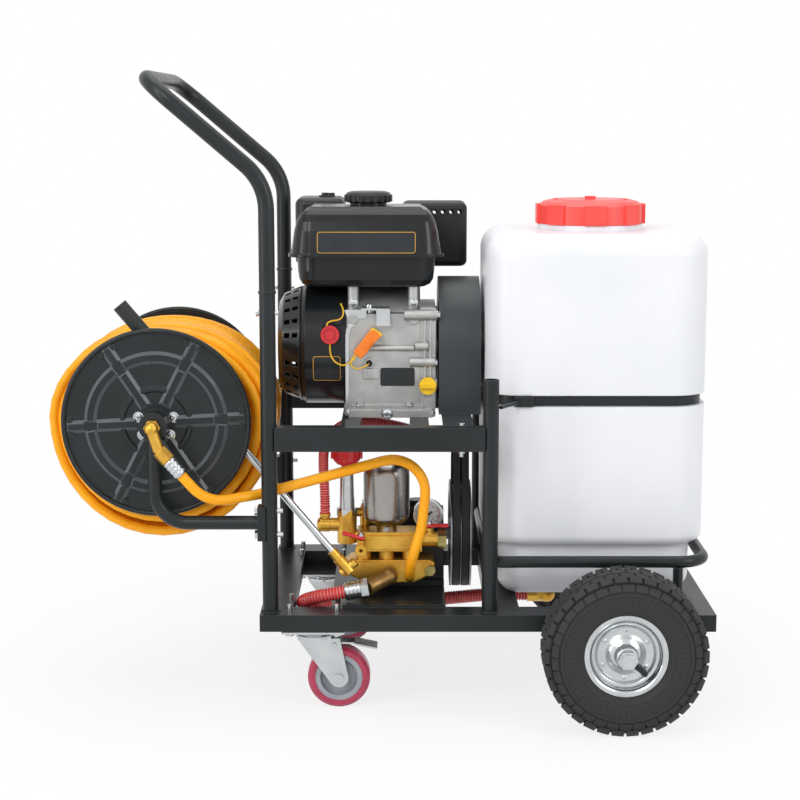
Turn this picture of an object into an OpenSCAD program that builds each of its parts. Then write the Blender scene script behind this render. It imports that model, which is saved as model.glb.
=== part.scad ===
// Wheeled sprayer cart: engine, belt driven plunger pump, hose reel and spray tank on a tube frame.
// Millimetres, +Z up, +X towards the tank end, -Y towards the side with the pump's outlets.

/* [Base frame] */
// Length of the base frame
frame_l = 719; // [690:1:780]
// Outer width of the base frame
frame_w = 468; // [460:1:490]
// Width of a base rail, lying flat
rail_w = 50; // [46:1:56]
// Height of a base rail
rail_h = 27; // [22:1:32]
// Wall of the frame tubes
tube_wall = 2; // [1.5:0.1:2.5]

/* [Posts and handle] */
// Diameter of the post and handle tube
tube_d = 25; // [22:0.5:28]
// Height of the joint between post and handle above the base rails
joint_rise = 505; // [480:1:560]
// Height of the handle's bend above the base rails
bend_rise = 675; // [650:1:740]
// Slope of the handle's grip end above the horizontal
handle_slope = 40.5; // [30:0.5:50]
// Length of the sloping part of the handle
handle_reach = 243; // [210:1:280]
// Height of the tank side posts above the base rails
tank_post_h = 371; // [340:1:400]

/* [Engine deck] */
// Height of the deck rails' top above the base rails
deck_rise = 297; // [290:1:310]
// Height of a deck rail
deck_h = 38; // [30:1:44]

/* [Road wheels] */
// Outer diameter of a road wheel
wheel_d = 254; // [240:1:300]
// Width of a tyre
wheel_w = 85; // [76:1:92]
// Diameter of the wheel axle
axle_d = 20; // [16:0.5:24]
// Height of a tyre above the rim's flange
tyre_h = 63.5; // [60:0.5:68]

/* [Casters] */
// Outer diameter of a caster wheel
caster_d = 100; // [90:1:104]
// Width of a caster wheel
caster_w = 32; // [28:1:36]
// Offset of the caster wheel behind its kingpin
caster_trail = 40; // [34:1:44]

/* [Spray tank] */
// Length of the tank
tank_l = 356; // [330:1:360]
// Width of the tank
tank_w = 300; // [280:1:320]
// Height of the tank's body
tank_h = 592; // [560:1:640]
// Wall of the tank
tank_wall = 5; // [3:0.5:7]
// Diameter of the lid
lid_d = 178; // [160:1:190]

/* [Hose reel] */
// Diameter of the reel flanges
flange_d = 300; // [280:1:310]
// Diameter of the wound hose
coil_d = 356; // [340:1:358]
// Diameter of the reel's core
core_d = 100; // [80:1:110]
// Diameter of the reel arm tube
arm_d = 22; // [19:0.5:25]

/* [Drive] */
// Outer radius of the engine pulley
engine_pulley_r = 38; // [34:1:44]
// Outer radius of the pump pulley
pump_pulley_r = 90; // [80:1:92]
// Width of a belt
belt_w = 13; // [11:0.5:14]

/* [Hoses] */
// Outer diameter of the spray hose
hose_d = 16.5; // [14:0.5:17]
// Outer diameter of the suction hose
suction_d = 23; // [20:0.5:24]
// Outer diameter of the return hose
return_d = 17; // [14:0.5:18]

/* [Hidden] */
$fn = 64;
slack = 0.3;
running = 0.05;
hex_sides = 6;

frame_x0 = -189;
frame_x1 = frame_x0 + frame_l;
rail_y = frame_w / 2 - rail_w / 2;
rail_in = frame_w / 2 - rail_w;
wheel_z = wheel_d / 2;
rim_d = wheel_d - 2 * tyre_h;
axle_r = axle_d / 2;
rail_z = wheel_z + axle_r + slack;
rail_top = rail_z + rail_h;
cross_w = 50;

tube_r = tube_d / 2;
bore_r = tube_r - tube_wall;
post_y = rail_y;
handle_x = frame_x0 + 16;
tank_x = frame_x1 - 183;
tank_post_x = tank_x - tank_l / 2 + 5;
joint_z = rail_top + joint_rise;
bend_z = rail_top + bend_rise;
tank_post_top = rail_top + tank_post_h;
handle_bend_r = 90;
handle_corner_r = 55;
spigot_l = 60;

deck_top = rail_top + deck_rise;
deck_w = tube_d;
seat_z = deck_top - 5;
seat_h = 20;
seat_w = 30;
deck_in = post_y - deck_w / 2;
seat_x = [-47, 63];

wheel_x = frame_x1 - 153;
wheel_y = frame_w / 2 + 66;
hub_l = 90;
axle_end = wheel_y + hub_l / 2 + 14;
hanger_t = 6;

caster_x = -106;
caster_y = post_y - 30;
caster_r = caster_d / 2;
pad_t = 5;
plate_t = 3.5;
plate_z = rail_z - pad_t - plate_t;
plate_l = 100;
plate_w = 85;
bolt_dx = 75;
bolt_dy = 60;
bolt_r = 4;
hole_r = bolt_r + slack;
race_h = 9;
crown_z = plate_z - race_h;
crown_t = 4;
kingpin_r = 6;
fork_t = 2.5;
fork_y = caster_w / 2 + 2;
caster_axle_r = 5;
pedal_x = 33;
pedal_z = crown_z - 14;
pedal_pin_r = 3.5;

tank_z = rail_top;
tank_corner = 60;
tank_shoulder = 35;
tank_foot = 38;
tank_step = 20;
tank_ledge = 16;
tank_step_z = 90;
tank_groove_z = 327;
tank_groove_d = 9;
strap_h = 16;
neck_r = lid_d / 2 - 9;
neck_h = 44;
lid_gap = 9;
lid_h = 39;
lid_lugs = 8;
guard_d = 19;
guard_z = rail_top + 75;
guard_y = tank_w / 2 + 40;
guard_corner = 45;
guard_x1 = frame_x1 - 1;

reel_x = -352;
reel_z = rail_top + 298.5;
flange_r = flange_d / 2;
reel_near = -180;
reel_far = 130;
sheet_t = 2;
reel_axle_r = 10;
reel_hub_r = 22;
reel_hub_l = 30;
arm_r = arm_d / 2;
arm_z = reel_z - 155;
arm_bend_r = 50;
coil_near = -153;
coil_near_r = 50;
coil_far_r = 25;
coil_far = 118;
saddle_t = 6;
arm_bolts = [arm_z - 19, arm_z + 19];

crank_y = 15;
crank_z = seat_z + 108;
drive_x = 133;
belt_pitch = 15;
pulley_w = 35;
belt_t = 8;
crank_r = 12.5;
shroud_r = 100;
shroud_x = [-131, -54];
recoil_x = -168;
button_travel = 3;
case_x = [-54, 65];
case_y = [-86, 78];
case_top = seat_z + 168;
foot_t = 12;
// Cast bars on the crankcase: two ends, height above the crankshaft, radius
case_bars = [[39, 92, 58.7, 9], [56, 78, 7.7, 7.5], [48, 88, -18.3, 8], [-20, 55, 4.7, 5]];
dipstick = [77, -90, crank_z - 56];
dipstick_r = 9;
cover_x = 93;
fuel_z = seat_z + 210;
fuel_h = 129;
fuel_l = 244;
fuel_w = 164;
fuel_seam = 53;
fuel_corner = 34;
fuel_wall = 2.5;
fuel_place = [-23, -12];
fuel_lip = 4;
fuel_waist = 10;
fuel_neck_r = 22;
neck_place = fuel_place + [3, 6];
guard_x = [95, 163];
guard_r = 112;
guard_t = 1.5;
guard_foot_t = 2;
guard_bolt_r = 3;

pump_y = 5;
pump_base = rail_top + 4;
pump_z = pump_base + 73.5;
pump_x = [-45, 105];
head_y = -118;
head_z = pump_base + 17;
head_h = 37;
lug_x = [-56, 81];
manifold_x = [-38, 68];
manifold_z = [pump_z - 5, pump_z + 27];
chamber_x = 10;
chamber_y = -62;
chamber_r = 36.5;
regulator_x = -55;
regulator_y = -88;
bypass_face = -84;
bypass_z = manifold_z[0] + 40;
gauge_x = 79;
gauge_y = -58;
gauge_z = pump_z + 44;
gauge_r = 25;
valve_left = [-31, -132, pump_z + 5];
valve_right = [80, -92, pump_z + 11];
valve_rear = [-26, -53, pump_z + 62];

lance_r = 6;
grip_l = 60;
grip_r = 12;
grip_hole = 24;
lance_y = coil_near - grip_r + 1;
lance_top = [reel_x - 56, lance_y, reel_z + 184.2];
lance_end = [-48, lance_y, rail_top + 51.7];
lance_dir = (lance_end - lance_top) / norm(lance_end - lance_top);

// Points of the three hoses, from fitting to fitting, as drawn on the frame's own sizes
drawn_rail_top = 164.3;
drawn_post_in = 196.5;
delivery_points = [
    [-308, -236, 390], [-300.4, -235.6, 381.2], [-292.8, -235.2, 372.4], [-277.5, -232.9, 358.1],
    [-260.2, -227.1, 349.2], [-242.1, -218.2, 346.3], [-224.5, -207.9, 347.1], [-206.9, -197.6, 348],
    [-188.6, -188.9, 349.8], [-169, -184.7, 353.7], [-149.3, -183.3, 358.9], [-129.6, -181.9, 364],
    [-109.9, -180.5, 369.2], [-90.2, -179.1, 374.4], [-70.5, -177.7, 379.5], [-50.8, -176.3, 384.7],
    [-31.1, -174.9, 389.9], [-11.4, -173.5, 395], [8.3, -172.1, 400.1], [28.6, -170.8, 400.5],
    [47.5, -169.9, 393.2], [62.3, -169.4, 379.3], [70.8, -169.5, 360.9], [71.8, -170, 340.6],
    [69.7, -170.8, 320.3], [67.5, -171.6, 300], [63.4, -172.5, 280.1], [57.5, -173.4, 260.5],
    [52.4, -170.2, 241.1], [49.1, -160.6, 223.5], [48, -146, 210], [48, -140, 206], [48, -134, 202]
];
suction_points = [
    [-56, -166, 184], [-64.4, -166.3, 182.6], [-72.8, -166.6, 181.2], [-95.5, -164.4, 176.2],
    [-114.1, -152.8, 168.3], [-124.6, -134, 159.1], [-126, -112.3, 150.4], [-125.6, -90.3, 141.9],
    [-119.4, -69.1, 134], [-106.5, -50.6, 127.5], [-88.2, -36.7, 123.1], [-66.2, -28.8, 121.3],
    [-42.9, -25.1, 121.1], [-19.6, -21.4, 121], [3.1, -15.4, 121], [25.3, -7.6, 121], [47.6, 0.1, 121],
    [69.8, 7.9, 121], [92, 15.7, 121], [114.3, 23.5, 121], [136.5, 31.3, 121], [158.7, 39.1, 121],
    [181.2, 46, 121], [204.5, 49.6, 121], [228, 50, 121], [240, 50, 121], [252, 50, 121]
];
return_points = [
    [-91, -88, 296], [-91, -88, 305], [-91, -88, 314], [-92, -83, 340], [-94, -68, 368],
    [-93, -42, 396], [-80, -5, 415], [-58, 35, 424], [-24, 75, 420.5], [20, 99, 410.5], [64, 102, 399],
    [106, 93, 391], [142, 89, 388], [151, 89, 388], [160, 89, 388]
];
// The points rise with the frame, and the reel's end of the delivery hose follows the post
function tied(points, out) = [for (k = [0 : len(points) - 1])
    points[k] + [0, -out * max(0, 1 - max(0, k - 12) / 12), rail_top - drawn_rail_top]];
delivery_route = tied(delivery_points, post_y - tube_r - drawn_post_in);
suction_route = tied(suction_points, 0);
return_route = tied(return_points, 0);
return_end = return_route[len(return_route) - 1];

near = -1;
far = 1;

black = "#202224";
zinc = "#c9ccce";
alloy = "#a9abab";
brass = "#b5862e";
red = "#d8232a";

// Shared shapes

module on_side(side) {
    if (side == near) children();
    else mirror([0, 1, 0]) children();
}

module both_sides() {
    for (side = [near, far]) on_side(side) children();
}

module along_x() rotate([0, 90, 0]) children();

module along_y() rotate([-90, 0, 0]) children();

module pipe(h, r, wall) {
    difference() {
        cylinder(h = h, r = r);
        translate([0, 0, -1]) cylinder(h = h + 2, r = r - wall);
    }
}

module pipe_bend(bend_r, r, wall, angle) {
    rotate_extrude(angle = angle) translate([bend_r, 0]) difference() {
        circle(r);
        circle(r - wall);
    }
}

module rod_between(p, q, r, sides = 64) {
    d = q - p;
    translate(p) rotate([0, acos(d.z / norm(d)), atan2(d.y, d.x)])
        cylinder(h = norm(d), r = r, $fn = sides);
}

module at_line(p, d) {
    translate(p) rotate([0, acos(d.z / norm(d)), atan2(d.y, d.x)]) children();
}

module hex(h, r) cylinder(h = h, r = r, $fn = hex_sides);

module block(x, y, z) translate([x[0], y[0], z[0]]) cube([x[1] - x[0], y[1] - y[0], z[1] - z[0]]);

// A box with round corners: the child is the wall's profile, measured out from the corner's centre
module swept_box(l, w, corner, z, h) {
    a = l / 2 - corner;
    b = w / 2 - corner;
    for (turn = [0, 1, 2, 3]) {
        sx = turn == 0 || turn == 3 ? 1 : -1;
        sy = turn < 2 ? 1 : -1;
        run = turn % 2 == 0 ? 2 * b : 2 * a;
        translate([sx * a, sy * b, 0]) rotate([0, 0, 90 * turn]) rotate_extrude(angle = 90) children();
        translate([sx * a, sy * b, 0]) rotate([0, 0, 90 * turn]) rotate([90, 0, 0])
            linear_extrude(run) children();
    }
    translate([-a, -b, z]) cube([2 * a, 2 * b, h]);
}

// A wall profile with round foot and shoulder
module soft_profile(z, w, h, foot, shoulder) {
    translate([0, z + foot]) square([w, h - foot - shoulder]);
    translate([0, z]) square([w - foot, foot]);
    translate([0, z + h - shoulder]) square([w - shoulder, shoulder]);
    translate([w - foot, z + foot]) intersection() {
        circle(foot);
        translate([0, -foot]) square(foot);
    }
    translate([w - shoulder, z + h - shoulder]) intersection() {
        circle(shoulder);
        square(shoulder);
    }
}

// Smooth curve through a route's points
function blend_point(a, b, c, d, t) =
    0.5 * (2 * b + (c - a) * t + (2 * a - 5 * b + 4 * c - d) * pow(t, 2)
        + (3 * b - a - 3 * c + d) * pow(t, 3));

function curve(p, steps) = let (n = len(p) - 1)
    concat([for (i = [0 : n - 1], k = [0 : steps - 1])
        blend_point(p[max(i - 1, 0)], p[i], p[i + 1], p[min(i + 2, n)], k / steps)], [p[n]]);

function unit(v) = v / norm(v);

function tangents(p) = let (n = len(p) - 1)
    [for (i = [0 : n]) unit(p[min(i + 1, n)] - p[max(i - 1, 0)])];

function carried(t, u, i = 0) = i == len(t) ? [] :
    let (v = unit(u - (u * t[i]) * t[i])) concat([v], carried(t, v, i + 1));

module hose(route, d, sides = 12, steps = 2) {
    p = curve(route, steps);
    t = tangents(p);
    u = carried(t, [0.1, 0.2, 1]);
    n = len(p);
    ring = [for (i = [0 : n - 1], k = [0 : sides - 1]) let (a = 360 * k / sides)
        p[i] + d / 2 * (cos(a) * u[i] + sin(a) * cross(t[i], u[i]))];
    wall = [for (i = [0 : n - 2], k = [0 : sides - 1]) let (m = (k + 1) % sides)
        [i * sides + k, (i + 1) * sides + k, (i + 1) * sides + m, i * sides + m]];
    start = [[for (k = [0 : sides - 1]) k]];
    end = [[for (k = [sides - 1 : -1 : 0]) (n - 1) * sides + k]];
    polyhedron(ring, concat(wall, start, end), convexity = 8);
}

// Frame

module cross_bars() {
    for (x = [frame_x0, -78, 55, tank_post_x - 2, wheel_x - 25, frame_x1 - cross_w])
        translate([x, 0, 0]) children();
}

module caster_bolt_places() {
    for (x = [-bolt_dx / 2, bolt_dx / 2], y = [-bolt_dy / 2, bolt_dy / 2])
        translate([caster_x + x, -caster_y + y, 0]) children();
}

module base_frame() {
    void_w = rail_w - 2 * tube_wall;
    void_h = rail_h - 2 * tube_wall;
    color(black) difference() {
        union() {
            both_sides() translate([frame_x0, -frame_w / 2, rail_z]) cube([frame_l, rail_w, rail_h]);
            cross_bars() translate([0, -rail_in, rail_z]) cube([cross_w, 2 * rail_in, rail_h]);
            both_sides() block([caster_x - plate_l / 2, caster_x + plate_l / 2],
                [-caster_y - plate_w / 2, -caster_y + plate_w / 2], [rail_z - pad_t, rail_z]);
            both_sides() translate([wheel_x, -rail_y, rail_z]) axle_hanger();
            block([-78, 105], [-95, 95], [rail_top, pump_base]);
            block([-60, 105], [-rail_in - 6, -94], [rail_top, pump_base]);
        }
        both_sides() translate([frame_x0 - 1, -frame_w / 2 + tube_wall, rail_z + tube_wall])
            cube([frame_l + 2, void_w, void_h]);
        cross_bars() translate([tube_wall, -rail_in - 2 * tube_wall, rail_z + tube_wall])
            cube([cross_w - 2 * tube_wall, 2 * rail_in + 4 * tube_wall, void_h]);
        both_sides() caster_bolt_places() translate([0, 0, rail_z - 20]) cylinder(h = 80, r = hole_r);
        for (x = [-35, 30], y = [-75, 55]) block([x, x + 30], [y, y + 9], [rail_top - 1, pump_base + 1]);
        both_sides() translate([wheel_x, -rail_y, wheel_z]) along_y()
            translate([0, 0, -rail_w]) cylinder(h = 2 * rail_w, r = axle_r + running);
    }
}

module axle_hanger() {
    drop = rail_z - wheel_z;
    for (y = [-rail_w / 2 + 2, rail_w / 2 - 2 - hanger_t]) translate([0, y, 0]) {
        translate([-20, 0, -drop]) cube([40, hanger_t, drop]);
        translate([0, 0, -drop]) along_y() cylinder(h = hanger_t, r = 20);
    }
}

module upright_posts() {
    color(black) both_sides() {
        difference() {
            translate([handle_x, -post_y, rail_top]) pipe(joint_rise, tube_r, tube_wall);
            arm_bolt_holes();
            handle_bolt_hole();
        }
        translate([tank_post_x, -post_y, rail_top]) pipe(tank_post_h, tube_r, tube_wall);
    }
}

module arm_bolt_holes() {
    for (z = arm_bolts) translate([handle_x - 40, -post_y, z]) along_x() cylinder(h = 80, r = hole_r);
}

module handle_bolt_hole() {
    translate([handle_x - 40, -post_y, joint_z - spigot_l / 2]) along_x() cylinder(h = 80, r = 3 + slack);
}

module push_handle() {
    turn = 90 - handle_slope;
    leg = handle_bend_r * tan(turn / 2);
    color(black) {
        both_sides() translate([handle_x, -post_y, 0]) {
            difference() {
                translate([0, 0, joint_z - spigot_l]) pipe(spigot_l, bore_r - slack / 2, tube_wall);
                translate([-handle_x, post_y, 0]) handle_bolt_hole();
            }
            translate([0, 0, joint_z]) difference() {
                cylinder(h = 4, r = tube_r + 1.5);
                translate([0, 0, -1]) cylinder(h = 6, r = bore_r - tube_wall - slack / 2);
            }
            translate([0, 0, joint_z + 4]) pipe(bend_z - leg - joint_z - 4, tube_r, tube_wall);
            translate([-handle_bend_r, 0, bend_z - leg]) rotate([90, 0, 0])
                pipe_bend(handle_bend_r, tube_r, tube_wall, turn);
            translate([0, 0, bend_z]) rotate([0, -turn, 0]) {
                translate([0, 0, leg]) pipe(handle_reach - handle_corner_r - leg, tube_r, tube_wall);
                translate([0, handle_corner_r, handle_reach - handle_corner_r]) rotate([0, -90, 0])
                    rotate([0, 0, -90]) pipe_bend(handle_corner_r, tube_r, tube_wall, 90);
                translate([0, handle_corner_r, handle_reach]) along_y()
                    pipe(post_y - handle_corner_r, tube_r, tube_wall);
            }
        }
    }
}

module engine_deck() {
    z0 = deck_top - deck_h;
    x0 = handle_x + tube_r - 3;
    x1 = tank_post_x - tube_r + 3;
    seat_y = [-deck_in, deck_in];
    color(black) difference() {
        union() {
            both_sides() block([x0, x1], [-post_y - deck_w / 2, -deck_in], [z0, deck_top]);
            for (x = seat_x)
                block([x - seat_w / 2, x + seat_w / 2], seat_y, [seat_z - seat_h, seat_z]);
        }
        both_sides() block([x0 - 1, x1 + 1], [-post_y - deck_w / 2 + tube_wall, -deck_in - tube_wall],
            [z0 + tube_wall, deck_top - tube_wall]);
        for (x = seat_x) block([x - seat_w / 2 + tube_wall, x + seat_w / 2 - tube_wall],
            [seat_y[0] - 2 * tube_wall, seat_y[1] + 2 * tube_wall],
            [seat_z - seat_h + tube_wall, seat_z - tube_wall]);
        both_sides() for (x = [handle_x, tank_post_x]) translate([x, -post_y, z0 - 1])
            cylinder(h = deck_h + 2, r = tube_r + slack / 2);
        both_sides() guard_bolt_place() translate([0, 0, -deck_h - 1])
            cylinder(h = deck_h + 2, r = guard_bolt_r + slack);
    }
}

module guard_bolt_place() translate([drive_x - 5, -post_y, deck_top]) children();

module tank_guard() {
    r = guard_d / 2;
    x = [tank_post_x, guard_x1 - r];
    tight = 25;
    color(black) difference() {
        union() {
            both_sides() translate([0, -guard_y, guard_z]) {
                translate([x[0] + tight, 0, 0]) along_x()
                    pipe(x[1] - guard_corner - x[0] - tight, r, tube_wall);
                translate([x[1] - guard_corner, guard_corner, 0]) rotate([0, 0, -90])
                    pipe_bend(guard_corner, r, tube_wall, 90);
                translate([x[1], guard_corner, 0]) along_y() pipe(guard_y - guard_corner, r, tube_wall);
                translate([x[0] + tight, tight, 0]) rotate([0, 0, 180])
                    pipe_bend(tight, r, tube_wall, 90);
                translate([x[0], tight, 0]) along_y() pipe(guard_y - tight, r, tube_wall);
                translate([x[0] + 2, -post_y + guard_y + 5, -4]) cube([34, 16, 8]);
                translate([x[1] - guard_corner, 0, rail_top - guard_z])
                    pipe(guard_z - rail_top - r + 1.5, 8, tube_wall);
            }
        }
        both_sides() translate([tank_post_x, -post_y, guard_z - 20])
            cylinder(h = 40, r = tube_r + slack / 2);
        both_sides() translate([x[0] + tight, -guard_y, guard_z]) along_x()
            cylinder(h = x[1] - guard_corner - x[0] - tight, r = r - tube_wall);
    }
}

module reel_arms() {
    color(black) both_sides() difference() {
        union() {
            translate([reel_x + arm_bend_r, -post_y, arm_z]) along_x()
                pipe(handle_x - tube_r - saddle_t - reel_x - arm_bend_r, arm_r, tube_wall);
            translate([reel_x + arm_bend_r, -post_y, arm_z + arm_bend_r]) rotate([90, 0, 0])
                rotate([0, 0, 180])
                pipe_bend(arm_bend_r, arm_r, tube_wall, 90);
            translate([reel_x, -post_y, arm_z + arm_bend_r])
                pipe(reel_z - arm_z - arm_bend_r, arm_r, tube_wall);
            translate([reel_x, -post_y - reel_hub_l / 2, reel_z]) along_y()
                cylinder(h = reel_hub_l, r = reel_hub_r);
            block([handle_x - tube_r - saddle_t, handle_x - 6], [-post_y - 14, -post_y + 14],
                [arm_z - 27, arm_z + 27]);
        }
        translate([handle_x, -post_y, arm_z - 60]) cylinder(h = 120, r = tube_r + slack / 2);
        arm_bolt_holes();
        translate([reel_x, -post_y - reel_hub_l, reel_z]) along_y()
            cylinder(h = 2 * reel_hub_l, r = reel_axle_r + running);
    }
}

// Running gear

module wheel_axle() {
    color(zinc) {
        translate([wheel_x, -axle_end, wheel_z]) along_y() cylinder(h = 2 * axle_end, r = axle_r);
        both_sides() translate([wheel_x, -wheel_y - hub_l / 2 - slack, wheel_z]) along_y()
            mirror([0, 0, 1])
            difference() {
                hex(9, 15.5);
                translate([0, 0, -1]) cylinder(h = 12, r = axle_r);
            }
        both_sides() translate([wheel_x, -wheel_y + hub_l / 2 + slack, wheel_z]) along_y() difference() {
            cylinder(h = 5, r = 16);
            translate([0, 0, -1]) cylinder(h = 12, r = axle_r);
        }
    }
}

module wheel_place(side) {
    translate([wheel_x, side * wheel_y, wheel_z]) on_side(side) rotate([90, 0, 0]) children();
}

module tyre(side) {
    section_r = wheel_w / 2 + 5.5;
    centre_r = wheel_z - wheel_w / 2;
    bead_r = rim_d / 2 - 9.5;
    bead_w = 60;
    color("#1b1c1d") wheel_place(side) rotate_extrude() difference() {
        union() {
            intersection() {
                translate([centre_r, 0]) circle(section_r);
                translate([rim_d / 2 + 1, -wheel_w / 2]) square([wheel_z - rim_d / 2 - 1, wheel_w]);
            }
            translate([bead_r, -bead_w / 2]) square([rim_d / 2 + 2 - bead_r, bead_w]);
        }
        translate([centre_r, 0]) circle(section_r - 12);
        translate([0, -bead_w / 2 + 9]) square([rim_d / 2 + 20, bead_w - 18]);
    }
}

module rim(side) {
    seat = rim_d / 2 - 10.8;
    t = 2.5;
    color(zinc) wheel_place(side) {
        rotate_extrude() {
            polygon([[rim_d / 2, -33], [rim_d / 2, -30.3], [seat + 1, -30.3], [seat, -22], [44, -14],
                [44, 14],
                [seat, 22], [seat + 1, 30.3], [rim_d / 2, 30.3], [rim_d / 2, 33], [seat + 1 - t, 33],
                [seat - t, 23.5], [44 - t, 15.5], [44 - t, -15.5], [seat - t, -23.5],
                    [seat + 1 - t, -33]]);
            polygon([[42, 12], [36, 15], [30, 22], [20, 24], [16, 24], [16, 21], [20, 21],
                [28.5, 19.5], [35, 12], [42, 9]]);
            polygon([[42, -9], [35, -12], [20, -12], [16, -12], [16, -15], [20, -15], [36, -15],
                [42, -12]]);
            translate([axle_r + running, -hub_l / 2]) square([17 - axle_r - running, hub_l]);
        }
        for (a = [45 : 90 : 315]) rotate([0, 0, a]) translate([24, 0, 23]) hex(6, 5.5);
        translate([0, 39, 16]) rotate([-20, 0, 0]) cylinder(h = 26, r = 3);
    }
}

module caster_place(side) {
    translate([caster_x, side * caster_y, 0]) on_side(side) children();
}

module caster_plates() {
    color(zinc) both_sides() translate([caster_x, -caster_y, 0]) difference() {
        union() {
            translate([-plate_l / 2, -plate_w / 2, plate_z]) cube([plate_l, plate_w, plate_t]);
            translate([0, 0, crown_z + 3]) cylinder(h = plate_z - crown_z - 3, r1 = 26, r2 = 32);
            translate([0, 0, crown_z - crown_t - 6]) cylinder(h = 30 + crown_t, r = kingpin_r);
            translate([0, 0, crown_z - crown_t - 12]) hex(11.5, 10);
        }
        translate([-caster_x, caster_y, plate_z - 1]) caster_bolt_places()
            cylinder(h = plate_t + 2, r = hole_r);
        translate([0, 0, rail_z - pad_t]) cylinder(h = 40, r = kingpin_r + 1);
    }
}

module caster_leg() {
    arm_z0 = crown_z - crown_t;
    rotate([90, 0, 0]) linear_extrude(fork_t) difference() {
        union() {
            polygon([[-26, arm_z0], [42, arm_z0], [caster_trail + 15, caster_r + 4],
                [caster_trail + 15, caster_r - 4], [caster_trail - 12, caster_r - 9]]);
            translate([caster_trail, caster_r]) circle(15);
        }
        translate([caster_trail, caster_r]) circle(caster_axle_r + running);
        translate([pedal_x, pedal_z]) circle(pedal_pin_r + running);
    }
}

module caster_fork(side) {
    color(zinc) caster_place(side) {
        difference() {
            union() {
                translate([0, 0, crown_z - crown_t]) cylinder(h = crown_t, r = 30);
                translate([0, 0, crown_z]) cylinder(h = 2.5, r = 24);
                for (y = [-fork_y, fork_y + fork_t]) translate([0, y, 0]) caster_leg();
                block([-26, 28], [-fork_y - fork_t, fork_y + fork_t], [crown_z - crown_t, crown_z]);
            }
            translate([0, 0, crown_z - 20]) cylinder(h = 40, r = kingpin_r + running);
        }
        translate([caster_trail, -fork_y - fork_t, caster_r]) along_y() {
            cylinder(h = 2 * (fork_y + fork_t), r = caster_axle_r);
            translate([0, 0, -5]) hex(5, 8.5);
            translate([0, 0, 2 * (fork_y + fork_t)]) hex(6, 8.5);
        }
    }
}

module caster_tread(side) {
    color("#a63a55") caster_place(side) translate([caster_trail, 0, caster_r]) rotate([90, 0, 0])
        rotate_extrude() difference() {
            translate([caster_r - 12, -caster_w / 2]) square([12, caster_w]);
            for (s = [-1, 1]) translate([caster_r, s * caster_w / 2]) rotate([0, 0, 45])
                square(7, center = true);
        }
}

module caster_core(side) {
    r = caster_r - 12;
    color("#8d9095") caster_place(side) translate([caster_trail, 0, caster_r]) rotate([90, 0, 0])
        rotate_extrude() {
            translate([r - 8, -caster_w / 2 + 1]) square([8, caster_w - 2]);
            translate([12, -5]) square([r - 20, 10]);
            translate([caster_axle_r + running, -fork_y + slack]) square([8, 2 * fork_y - 2 * slack]);
        }
}

module caster_pedal(side) {
    z = pedal_z;
    color(zinc) caster_place(side) {
        translate([pedal_x, -fork_y - fork_t - 3, z]) along_y()
            cylinder(h = 2 * (fork_y + fork_t + 3), r = pedal_pin_r);
        block([pedal_x, 66], [-13, 13], [z - 1, z + 2]);
        translate([64, 0, z - 1]) rotate([0, 12, 0]) translate([0, -18, 0]) cube([38, 36, 3]);
    }
}

// Hose reel

module flange(y, out) {
    rib = 3;
    rim = 4;
    hub_h = 8;
    translate([reel_x, y, reel_z]) rotate([90 * out, 0, 0]) {
        rotate_extrude() {
            translate([reel_axle_r + running, 0]) square([flange_r - rim - 3 - reel_axle_r, sheet_t]);
            translate([flange_r - rim, 3]) circle(rim);
            flange_ring(0.64, 0.74, rib);
            flange_ring(0.32, 0.39, rib);
            translate([reel_axle_r + running, 0]) square([12, hub_h]);
        }
        for (a = [3 : 60 : 303]) rotate([0, 0, a]) {
            translate([flange_r * 0.35, -6, sheet_t]) cube([flange_r * 0.58, 12, rib]);
            translate([flange_r * 0.74, -3, sheet_t]) cube([flange_r * 0.19, 6, rib + 1.5]);
            translate([flange_r * 0.88, -16, sheet_t]) cube([8, 32, rib]);
        }
    }
}

module flange_ring(inner, outer, h) {
    slope = 0.02;
    polygon([[flange_r * inner, sheet_t], [flange_r * (inner + slope), sheet_t + h],
        [flange_r * (outer - slope), sheet_t + h], [flange_r * outer, sheet_t]]);
}

module reel_drum() {
    crank_l = 120;
    crank_t = 6;
    crank_r = 16;
    crank_y0 = post_y + reel_hub_l / 2 + 2;
    axle_y = [-post_y - reel_hub_l / 2 - 2, crank_y0 + 8];
    core_l = reel_far - reel_near - 2 * running;
    core_t = 2;
    color(black) {
        flange(reel_near, 1);
        flange(reel_far, -1);
        translate([reel_x, reel_near + running, reel_z]) along_y() difference() {
            cylinder(h = core_l, r = core_d / 2);
            translate([0, 0, core_t]) cylinder(h = core_l - 2 * core_t, r = core_d / 2 - core_t);
            translate([0, 0, -1]) cylinder(h = core_l + 2, r = reel_axle_r + running);
        }
        translate([reel_x, axle_y[0], reel_z]) along_y()
            cylinder(h = axle_y[1] - axle_y[0], r = reel_axle_r);
        translate([reel_x, crank_y0, reel_z]) rotate([0, -150, 0]) {
            difference() {
                union() {
                    along_y() cylinder(h = crank_t, r = crank_r);
                    translate([0, 0, -12.5]) cube([crank_l, crank_t, 25]);
                    translate([crank_l, 0, 0]) along_y() cylinder(h = crank_t, r = 12.5);
                }
                translate([0, -1, 0]) along_y() cylinder(h = crank_t + 2, r = reel_axle_r + running);
            }
            translate([crank_l, crank_t + running, 0]) along_y() cylinder(h = 70, r = 13);
        }
    }
}

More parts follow.
